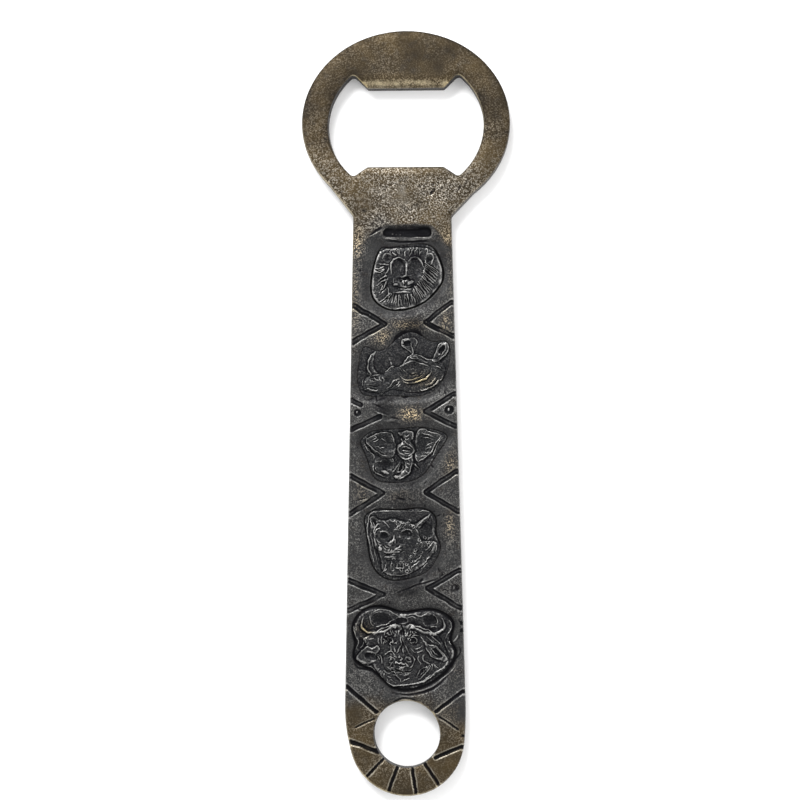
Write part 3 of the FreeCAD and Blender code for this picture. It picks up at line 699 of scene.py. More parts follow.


def add_walls(maker, relief, loop, radius, maps):
    """The rounded front edge, the wall and the rounded back edge along one outline."""
    normals = inward_normals(loop)
    inner = loop + normals * radius
    front = relief.sample(relief.z, inner)
    hollow, crest, gold, *others = [relief.sample(m, inner) for m in maps]
    # Painted highlight: the edges on the side that faces down and left shine brighter, and at the head and
    # tail they turn golden.
    painted_edge_highlight = np.clip(0.75 * normals[:, 1] + 0.35 * normals[:, 0], 0, 1)
    # The edges along both lips get neither the painted highlight nor much edge wear.
    under_lip = (np.abs(loop[:, 0]) < 9.0) & (loop[:, 1] > 50)
    painted_edge_highlight[under_lip] = 0
    gold = np.clip(gold + 0.5 * painted_edge_highlight * (np.abs(loop[:, 1] + 10) > 55), 0, 1)
    rings = []
    for step in range(ROUND_STEPS + 1):
        angle = step / ROUND_STEPS * math.pi / 2
        place = loop + normals * radius * (1 - math.sin(angle))
        height = front - radius * (1 - math.cos(angle))
        edge = np.where(under_lip, 0.1, 0.4 + 1.2 * painted_edge_highlight)
        shine = np.clip(crest + EDGE_WEAR_AND_HIGHLIGHT * edge * math.sin(2 * angle), 0, 1)
        rings.append(maker.add_points(place, height, hollow, shine, gold, *others))
    chance = np.random.default_rng(len(loop))
    # Painted shade: the walls are darkened, those of the opening and the eye twice as much as the outer
    # wall.
    shade = 0.6 if signed_area(loop) < 0 else 0.3
    for step in range(1, WALL_STEPS + 1):
        share = step / (WALL_STEPS + 1)
        height = (front - radius) * (1 - share) + radius * share
        bulge = 0.025 * np.sin(np.linspace(0, 40, len(loop)) + step)
        bulge += chance.normal(0, 0.005, len(loop))
        place = loop + normals * (0.04 + bulge)[:, None]
        rings.append(maker.add_points(place, height, shade, 0.0, 0.1))
    for step in range(ROUND_STEPS + 1):
        angle = step / ROUND_STEPS * math.pi / 2
        place = loop + normals * radius * (1 - math.cos(angle))
        height = radius * (1 - math.sin(angle))
        shine = 0.35 * math.sin(2 * angle)
        rings.append(maker.add_points(place, height, 0.0, shine, 0.3))
    for upper, lower in zip(rings, rings[1:]):
        maker.add_band(upper, lower)
    return rings[0], rings[-1]


# The back's point values: it is barely worn, grainy and half dark.
BACK_SKIN = (0.1, 0.1, 0.3, 0.6, 0.6)
# The relief zone of the bar, which gets the densest points, and the steps between points.
RELIEF_LOW = (-15, -66)
RELIEF_HIGH = (15, 46)
RELIEF_STEP = 0.205
PLAIN_STEP = 0.275
BACK_STEP = 1.1


def make_casting():
    """The whole bar: front relief, pockets for the tiles, walls and a plain cast back."""
    rough = outlines_at("opener_casting", CASTING_SLICE)
    loops = {"outer": even_loop(rough[0], 0.26, 0.12), "seats": []}
    for loop in rough[1:]:
        middle = loop.mean(0)
        if middle[1] > 50:
            loops["opening"] = even_loop(loop, 0.26, 0.16, is_hole=True)
        elif middle[1] < -70:
            loops["eye"] = even_loop(loop, 0.26, 0.12, is_hole=True)
        else:
            loops["seats"].append(even_loop(loop, 0.2, 0.15, is_hole=True))
    loops["seats"].sort(key=lambda loop: -loop.mean(0)[1])
    relief, maps = casting_relief(loops)

    maker = MeshMaker()
    front_rings, back_rings = [], []
    for name, radius in EDGE_ROUND.items():
        front, back = add_walls(maker, relief, loops[name], radius, maps)
        front_rings.append(front)
        back_rings.append(back)
    for loop in loops["seats"]:
        height = relief.sample(relief.z, loop)
        hollow = np.clip(relief.sample(maps[0], loop) + 0.25, 0, 0.8)
        top = maker.add_points(loop, height, hollow)
        low = maker.add_points(loop, SEAT_FLOOR, 1.0)
        maker.add_band(top, low)
        front_rings.append(top)
        maker.add_sheet([low], np.empty((0, 2)), np.empty(0), (1.0,))

    borders = [loops[name] + inward_normals(loops[name]) * EDGE_ROUND[name] for name in EDGE_ROUND]
    inside = inner_lattice(borders, loops["seats"])
    height = relief.sample(relief.z, inside)
    values = tuple(relief.sample(m, inside) for m in maps)
    maker.add_sheet(front_rings, inside, height, values)

    back = clear_of(lattice((-25, -90), (25, 90), BACK_STEP), borders, 0.5)
    swell = relief.sample(relief.noise(7.0, 8), back)
    height = np.clip(0.02 * swell, -0.03, 0.05) + 0.02
    maker.add_sheet(back_rings, back, height, BACK_SKIN, upward=False)
    piece = maker.build("opener_body")
    finish_piece(piece, "opener_casting", bronze_material())


def inner_lattice(borders, seats):
    """Points for the casting's front: dense over the relief, wider over the plain head."""
    dense = lattice(RELIEF_LOW, RELIEF_HIGH, RELIEF_STEP)
    wide = lattice((-25.2, -90.5), (25.2, 90.5), PLAIN_STEP)
    in_zone = ((wide >= RELIEF_LOW) & (wide <= RELIEF_HIGH)).all(1)
    return clear_of(np.vstack([dense, wide[~in_zone]]), borders + seats, 0.13)


def clear_of(points, borders, gap):
    """Keeps the points that lie in the material, at least a gap away from every border."""
    grid = Relief((-25.6, -91), (25.6, 91), 0.2, 1e3)
    for loop in borders:
        is_hole = signed_area(loop) < 0
        signed = grid.outline_distance(closed_line(loop), gap + 0.6)
        grid.z = np.minimum(grid.z, -signed if is_hole else signed)
    return points[grid.sample(grid.z, points) > gap]


def lip_bands(relief):
    """The faces of the lips, which are made lighter and grainier than the head round them."""
    x, y = relief.everywhere()
    upper = np.exp(-(((y - 77.5) / 1.1) ** 2)) * (np.abs(x) < 10) * (y > 66)
    lower = 0.5 * np.exp(-(((y - 57.0) / 0.6) ** 2)) * (np.abs(x) < 11)
    return upper + lower


def gold_map(relief):
    """How freely bare golden metal shows through the dark patina, from 0 to 1."""
    x, y = relief.everywhere()
    gold = 0.12 * smooth_step((y - 37) / 8) + 0.2 * smooth_step((y - 56) / 10)
    gold += 0.3 * smooth_step((-66 - y) / 5)
    # The faces of the lips are made more golden.
    gold += 0.45 * smooth_step((y - 75.5) / 2) * smooth_step((80.5 - y) / 2) * (np.abs(x) < 11)
    for centre, half, strength in GOLD_PATCHES:
        gold = np.maximum(gold, strength * relief.patch(centre, half))
    return np.clip(gold, 0, 1)


# High spots where handling has rubbed the dark patina through: centre, half size, strength.
GOLD_PATCHES = [
    ((0.4, 20.2), (4.2, 1.4), 0.8),
    ((-5.0, 17.2), (2.6, 2.4), 0.75),
    ((1.2, -0.8), (2.8, 1.8), 1.2),
    ((-11.4, 39.5), (1.6, 4.0), 0.8),
    ((9.8, 41.0), (1.8, 3.0), 0.7),
    ((-11.8, 27.0), (1.0, 8.0), 0.5),
    ((9.4, 20.6), (1.4, 3.0), 0.6),
    ((10.5, -12.0), (1.6, 3.0), 0.6),
    ((10.4, 33.0), (0.9, 5.0), 0.35),
    ((11.4, -56.5), (1.2, 6.0), 0.3),
    ((10.4, -26.5), (1.6, 3.0), 0.6),
    ((-1.2, -19.8), (3.0, 1.6), 0.22),
    ((-10.2, -19.6), (2.0, 3.0), 0.35),
]


# ---------------------------------------------------------------- the relief tiles

TILE_STEP = 0.05      # grid step of a tile's height field
TILE_POINTS = 90000   # about how many points a tile's front gets
FINEST_STEP = 0.075   # the least distance between those points
LATTICE_RISE = 0.866  # how far apart a lattice's rows are, as a share of its step
STROKE_SHARE = 0.88   # the drawn strokes are laid a little thinner than listed


def new_tile(node):
    """An empty tile relief at ground height, and the tile's outline."""
    outline = even_loop(outlines_at(node, TILE_SLICE)[0], 0.12, 0.15)
    low, high = outline.min(0) - 0.4, outline.max(0) + 0.4
    relief = Relief(low, high, TILE_STEP, GROUND[node][0])
    return relief, outline


def finish_tile(node, relief, outline, seed, gold_spots=()):
    """Brings the relief down to the line round the tile and makes its mesh."""
    ground, depth, width = GROUND[node]
    rise = relief.z - ground
    broad = blur(rise, 0.9 / relief.step)
    relief.z = ground + SQUEEZE * broad + (rise - broad)
    relief.z = relief.wobble(relief.z, 0.06, 1.0, seed + 2)
    relief.z = relief.wobble(relief.z, 0.035, 0.35, seed + 4)
    relief.soften(0.025)
    relief.z += 0.012 * relief.noise(0.35, seed) + 0.02 * relief.noise(1.3, seed + 1)
    signed = relief.outline_distance(closed_line(outline), 3.0)
    relief.z = ground + (relief.z - ground) * smooth_step((signed + 0.05) / 0.4)
    relief.press_seam(signed, depth, width)
    hollow, crest = patina_shade_and_wear(relief, 0.075)
    crest *= np.clip(0.79 + 0.26 * relief.noise(1.1, seed + 6), 0.3, 1.2)
    # The tips are rubbed down to just above the plate.
    room = PLATE + 0.14 - ground
    rise = relief.z - ground
    relief.z = ground + np.where(rise > 0, room * np.tanh(rise / room), rise)
    relief.z = np.maximum(relief.z, SEAT_FLOOR + 0.5)
    hollow = np.maximum(hollow, np.clip((ground + 0.1 - relief.z) / 0.4, 0, 1) * 0.75)
    gold = np.zeros_like(relief.z)
    for centre, half, strength in gold_spots:
        gold = np.maximum(gold, strength * relief.patch(centre, half))
    grain = np.full_like(relief.z, 0.16)
    dark = np.full_like(relief.z, 1.4)
    maps = (hollow, crest, gold, grain, dark)
    maker = MeshMaker()
    rim_height = relief.sample(relief.z, outline)
    rim_values = [relief.sample(m, outline) for m in maps]
    top = maker.add_points(outline, rim_height, *rim_values)
    low = maker.add_points(outline, SEAT_FLOOR, 1.0)
    maker.add_band(top, low)
    maker.add_sheet([low], np.empty((0, 2)), np.empty(0), (1.0,), upward=False)
    area = signed_area(outline)
    step = max(FINEST_STEP, math.sqrt(area / TILE_POINTS / LATTICE_RISE))
    points = lattice(outline.min(0), outline.max(0), step)
    points = points[relief.sample(signed, points) > 0.07]
    values = tuple(relief.sample(m, points) for m in maps)
    maker.add_sheet([top], points, relief.sample(relief.z, points), values)
    piece = maker.build(node.replace("_tile", "_relief"))
    finish_piece(piece, node, relief_material())


def make_lion():
    relief, outline = new_tile("lion_tile")
    mane = [(-7.4, 35.2), (-8.0, 31.0), (-8.0, 28.3), (-7.5, 26.4), (-6.0, 25.2), (-4.6, 24.3),
            (-3.0, 24.0), (-0.9, 24.15), (1.4, 24.3), (3.0, 24.8), (4.8, 26.0), (6.8, 27.8),
            (8.1, 29.7), (8.6, 31.5), (8.5, 33.6), (7.9, 35.6), (6.6, 37.6), (3.8, 38.6),
            (-0.2, 38.7), (-4.2, 38.3), (-6.5, 37.2)]
    relief.mound(mane, 0.42, 1.6)
    relief.stroke(mane[:15], 0.4, 0.22)
    # Skull, brow and muzzle.
    relief.dome((0.4, 31.8), (4.9, 5.6), 0.26, 0, 0.7)
    relief.dome((0.2, 37.0), (3.4, 1.6), 0.14)
    relief.dome((-1.6, 33.4), (1.75, 2.6), -0.5, -6, 0.8)
    relief.dome((2.3, 33.7), (1.7, 2.3), -0.46, 8, 0.8)
    relief.stroke([(-3.4, 32.0), (-3.5, 33.8), (-3.1, 35.3), (-1.7, 36.1), (-0.4, 35.8), (0.3, 35.2)],
                  0.5, 0.34)
    relief.stroke([(0.5, 35.2), (1.5, 36.0), (2.9, 36.1), (3.8, 35.2), (4.0, 33.9)], 0.5, 0.34)
    relief.stroke([(0.35, 34.4), (0.3, 33.4), (0.2, 32.6)], 0.45, 0.32)
    relief.stroke([(0.25, 35.6), (0.3, 34.2), (0.2, 33.0)], 0.9, 0.12)
    relief.stroke([(0.2, 33.0), (0.15, 32.2), (-0.6, 31.8), (-1.2, 31.6)], 0.45, 0.34)
    relief.stroke([(0.2, 32.4), (0.9, 31.9), (1.7, 32.0)], 0.4, 0.22)
    relief.dome((0.2, 31.3), (1.0, 0.55), -0.3)
    relief.dome((-1.0, 30.7), (0.4, 0.3), -0.2)
    relief.dome((0.9, 31.1), (0.4, 0.3), -0.2)
    relief.stroke([(-2.5, 31.4), (-2.9, 30.6), (-2.4, 29.9)], 0.5, 0.2)
    relief.dome((-1.9, 30.0), (1.25, 0.75), 0.24, -10)
    relief.dome((1.3, 30.2), (1.35, 0.8), 0.26, 18)
    relief.dome((-2.3, 29.85), (0.6, 0.34), 0.9, 8)
    relief.dome((1.2, 30.25), (0.9, 0.42), 1.0, 22)
    relief.dome((-0.6, 31.2), (1.9, 0.6), -0.24, 12)
    relief.stroke([(-0.4, 31.0), (-0.3, 30.0), (-0.3, 29.2)], 0.35, -0.3)
    relief.stroke([(-2.6, 28.6), (-1.2, 29.1), (0.0, 28.9), (1.4, 29.2), (2.6, 29.0)], 0.5, -0.3)
    relief.stroke([(-2.8, 27.7), (-1.6, 28.0), (-0.1, 28.1), (1.2, 28.0)], 0.55, 0.3)
    # Ears: uneven raised rims round a hollow middle.
    for ear in ((-4.3, 36.0), (5.6, 35.8)):
        relief.dome(ear, (1.3, 1.3), 0.1)
        relief.dome(ear, (0.85, 0.85), -0.26)
    relief.stroke([(-5.5, 35.5), (-5.2, 36.6), (-4.4, 37.2), (-3.5, 36.9), (-3.0, 36.4)], 0.4, 0.28)
    relief.stroke([(-5.2, 34.9), (-4.3, 34.5), (-3.4, 34.9)], 0.36, 0.22)
    relief.stroke([(4.7, 36.4), (5.4, 37.1), (6.3, 36.9), (6.6, 36.0), (6.1, 34.7), (5.6, 34.2)], 0.4, 0.28)
    relief.stroke([(4.6, 35.8), (4.8, 34.9), (5.4, 34.4)], 0.32, 0.16)
    # Mane, combed outwards all round the face.
    relief.strands([(4.6, 34.8), (4.5, 33.4), (3.9, 32.0), (3.0, 30.4)],
                   [(8.0, 32.6), (7.9, 30.8), (7.0, 29.0), (5.3, 27.2)], 13, 0.36, 0.3, 11, 0.04, 0.1)
    relief.strands([(2.8, 29.8), (2.3, 29.0), (1.6, 28.4)],
                   [(5.2, 26.8), (4.0, 26.0), (2.8, 25.2)], 7, 0.36, 0.28, 12, 0.05)
    relief.strands([(1.4, 27.6), (0.0, 27.2), (-1.6, 27.2), (-3.2, 27.8)],
                   [(2.4, 24.9), (0.4, 24.6), (-1.8, 24.5), (-4.4, 25.1)], 11, 0.34, 0.24, 13, 0.12, 0.2)
    relief.strands([(-3.8, 28.2), (-4.6, 29.6), (-4.4, 31.6)],
                   [(-6.0, 26.2), (-6.9, 28.6), (-6.6, 30.0)], 7, 0.4, 0.28, 14, 0.3, 0.35)
    relief.strands([(-4.2, 32.4), (-5.2, 33.2), (-5.4, 34.8)],
                   [(-6.6, 31.0), (-7.2, 32.8), (-6.9, 35.2)], 5, 0.4, 0.28, 15, 0.3, 0.35)
    relief.strands([(-3.2, 37.0), (-1.2, 36.8), (0.6, 36.7), (2.6, 36.9), (4.4, 37.1)],
                   [(-3.6, 37.9), (-1.6, 38.2), (0.6, 38.3), (3.0, 38.1), (5.0, 37.6)],
                   11, 0.36, 0.24, 16, 0.3, 0.3)
    relief.stroke([(-4.2, 30.8), (-4.8, 29.8), (-5.2, 28.7)], 0.55, 0.3)
    relief.stroke([(-4.0, 34.2), (-4.4, 33.0), (-4.9, 32.2)], 0.5, 0.28)
    relief.stroke([(4.2, 34.2), (4.5, 33.2), (4.1, 32.4)], 0.65, 0.3)
    finish_tile("lion_tile", relief, outline, 20)


def draw(relief, strokes):
    """Lays a list of strokes: width, height and the points they pass through."""
    for width, height, *points in strokes:
        relief.stroke(points, STROKE_SHARE * width, height)


def make_rhino():
    relief, outline = new_tile("rhino_tile")
    head = [(-9.5, 7.7), (-10.1, 6.3), (-9.9, 5.0), (-8.4, 4.5), (-6.2, 4.3), (-4.6, 4.5),
            (-3.2, 5.1), (-1.4, 4.9), (1.2, 4.5), (3.7, 4.5), (6.0, 5.3), (8.1, 6.9), (9.2, 8.9),
            (9.1, 10.5), (8.3, 11.7), (7.3, 12.4), (5.7, 12.1), (4.2, 12.4), (2.7, 13.3),
            (1.6, 13.5), (0.5, 12.8), (-0.3, 11.7), (-1.1, 10.7), (-2.2, 10.3), (-3.1, 10.6),
            (-4.2, 9.6), (-5.2, 8.7), (-6.4, 8.8), (-7.8, 8.4), (-8.7, 8.4)]
    relief.mound(head, 0.36, 2.0)
    horn = [(-7.0, 14.3), (-7.9, 13.6), (-8.8, 12.2), (-9.1, 10.4), (-8.9, 8.6), (-7.8, 8.1),
            (-6.6, 8.8), (-7.2, 9.8), (-7.6, 11.2), (-7.4, 12.7)]
    relief.mound(horn, 0.22, 0.6)
    relief.stroke([(-3.0, 10.2), (-3.5, 11.5), (-3.9, 13.2)], 1.0, 0.14, "end")
    relief.dome((-0.7, 16.0), (0.45, 0.3), 0.35, -30)
    near_ear = [(-1.0, 16.3), (-0.5, 17.0), (0.6, 17.3), (1.9, 17.3), (2.8, 16.5), (2.5, 15.2),
                (2.1, 14.0), (1.7, 13.2), (0.8, 14.1), (-0.4, 15.0), (-1.0, 15.6)]
    relief.mound(near_ear, 0.2, 0.7)
    relief.dome((0.35, 15.9), (0.95, 0.85), -0.34, 0, 0.7)
    far_ear = [(6.1, 11.7), (6.8, 12.9), (7.2, 14.6), (7.9, 15.9), (9.4, 16.3), (10.1, 15.6),
               (10.1, 14.4), (9.2, 12.9), (7.7, 11.5)]
    relief.mound(far_ear, 0.22, 0.7)
    relief.dome((8.5, 14.5), (0.7, 1.35), -0.36, -30, 0.7)
    relief.dome((1.6, 9.3), (2.9, 1.9), -0.36, 0, 0.7)
    relief.dome((5.6, 8.6), (2.2, 1.9), 0.12)
    relief.dome((-7.8, 6.4), (2.0, 1.4), 0.14)
    relief.dome((-4.6, 7.3), (1.4, 0.9), -0.14, 20)
    draw(relief, [
        # horn edge, nose and lip
        (0.55, 0.4, (-7.3, 14.2), (-8.2, 13.0), (-8.8, 11.6), (-8.8, 10.0), (-8.2, 8.8), (-8.5, 8.0)),
        (0.45, 0.22, (-8.6, 7.9), (-7.6, 8.4), (-6.6, 8.5), (-6.2, 8.9)),
        (0.4, 0.2, (-7.6, 8.3), (-7.3, 7.6), (-6.5, 7.2), (-5.8, 7.6)),
        (0.3, 0.16, (-6.4, 8.2), (-6.1, 7.4), (-5.5, 6.8)),
        (0.3, 0.14, (-5.7, 8.0), (-5.2, 7.4), (-5.3, 6.7)),
        (0.4, -0.3, (-8.4, 7.4), (-7.8, 7.2), (-7.3, 6.9)),
        (0.55, 0.3, (-9.9, 4.9), (-9.2, 5.1), (-8.6, 5.35), (-7.9, 4.95), (-6.9, 4.85), (-6.2, 5.2)),
        (0.3, 0.2, (-9.9, 7.6), (-10.2, 6.6), (-10.0, 5.8)),
        (0.35, -0.26, (-9.5, 5.9), (-8.2, 6.0), (-6.9, 5.7), (-5.8, 6.1)),
        (0.35, 0.22, (-6.4, 4.3), (-5.6, 4.1), (-5.0, 4.4)),
        # snout, crease of the jaw, brow
        (0.42, 0.26, (-5.2, 8.7), (-4.2, 9.6), (-3.0, 10.6), (-2.4, 10.3)),
        (0.5, 0.3, (-4.6, 5.2), (-3.6, 6.0), (-2.7, 7.3), (-1.2, 7.5)),
        (0.35, -0.25, (-3.6, 5.2), (-2.6, 6.2), (-1.8, 6.8)),
        (0.35, 0.2, (-2.3, 5.9), (-1.6, 6.6), (-1.3, 7.0)),
        (0.3, 0.18, (-1.9, 5.6), (-1.1, 6.4)),
        (0.5, 0.3, (-0.8, 10.4), (0.2, 11.3), (1.5, 11.7), (3.2, 11.4), (4.9, 10.8), (6.0, 10.4)),
        (0.4, 0.24, (-2.2, 10.3), (-1.0, 10.5), (-0.2, 11.5), (0.5, 12.6), (1.6, 13.3)),
        (0.45, 0.3, (1.8, 13.4), (3.4, 13.1), (4.3, 12.5), (5.8, 12.1), (7.0, 12.4)),
        (0.3, 0.2, (0.9, 12.9), (1.9, 12.2), (3.0, 12.5), (3.6, 12.0)),
        (0.3, 0.2, (1.6, 12.8), (2.6, 12.9), (3.1, 12.3)),
        (0.28, 0.16, (3.6, 12.4), (4.4, 11.7), (5.4, 11.5)),
        (0.28, -0.2, (1.2, 12.3), (2.4, 11.9), (3.8, 11.7)),
        (0.3, 0.2, (-1.6, 10.2), (-1.0, 9.8), (-0.6, 9.2)),
        (0.3, 0.18, (-0.9, 10.2), (-0.3, 9.7), (0.0, 9.1)),
        # cheekbone
        (0.65, 0.36, (6.3, 10.2), (5.9, 8.9), (4.8, 7.7), (3.3, 7.1), (1.8, 6.7), (0.3, 6.8), (-1.0, 7.3)),
        (0.4, 0.14, (6.2, 9.9), (5.6, 8.6), (4.6, 7.8), (3.2, 7.2), (1.6, 6.7)),
        (0.35, 0.24, (-1.4, 8.4), (-0.6, 7.6), (0.8, 7.4), (2.4, 7.7), (3.9, 8.6), (4.8, 9.5)),
        # eye
        (0.3, 0.1, (0.9, 9.5), (1.8, 9.9), (2.9, 9.5)),
        (0.3, 0.08, (1.2, 9.2), (1.9, 8.9), (2.8, 9.2)),
        (0.3, -0.2, (0.6, 9.0), (1.8, 8.5), (3.2, 8.8)),
        # ears
        (0.4, 0.26, (1.5, 13.4), (0.7, 14.4), (-0.5, 15.1), (-1.0, 15.9), (-0.7, 16.8), (0.3, 17.1)),
        (0.4, 0.28, (1.8, 13.4), (1.6, 14.4), (1.4, 15.4), (1.0, 16.3)),
        (0.35, 0.2, (1.0, 17.2), (2.1, 17.2), (2.8, 16.4), (2.4, 15.2)),
        (0.35, 0.2, (-0.9, 15.7), (-0.5, 15.3), (-0.1, 15.6)),
        (0.5, 0.3, (6.2, 11.5), (7.7, 12.0), (9.2, 13.2), (10.0, 14.5), (10.1, 15.7), (9.4, 16.2)),
        (0.35, 0.22, (9.4, 16.3), (8.1, 15.9), (7.4, 14.9), (7.2, 13.6), (6.6, 12.5), (5.9, 11.9)),
        (0.35, -0.2, (7.0, 12.4), (8.0, 13.0), (9.0, 14.2)),
        (0.3, 0.2, (7.9, 12.9), (8.9, 13.7), (9.5, 14.8)),
        # neck folds
        (0.5, 0.3, (7.0, 10.6), (8.1, 10.2), (8.9, 9.4)),
        (0.4, 0.24, (7.9, 7.4), (7.0, 6.4), (5.6, 5.6), (4.1, 4.9), (3.3, 5.2)),
        (0.35, 0.2, (7.4, 8.6), (6.8, 7.4), (5.8, 6.5), (4.4, 6.0)),
        (0.3, 0.18, (8.7, 8.8), (8.6, 7.8), (8.0, 7.0)),
        (0.35, -0.22, (7.9, 8.4), (7.3, 7.2), (6.2, 6.2), (4.6, 5.4)),
        (0.3, -0.16, (6.6, 11.6), (7.6, 11.3), (8.4, 10.8)),
    ])
    finish_tile("rhino_tile", relief, outline, 40, [((3.4, 7.4), (3.2, 1.6), 0.9)])


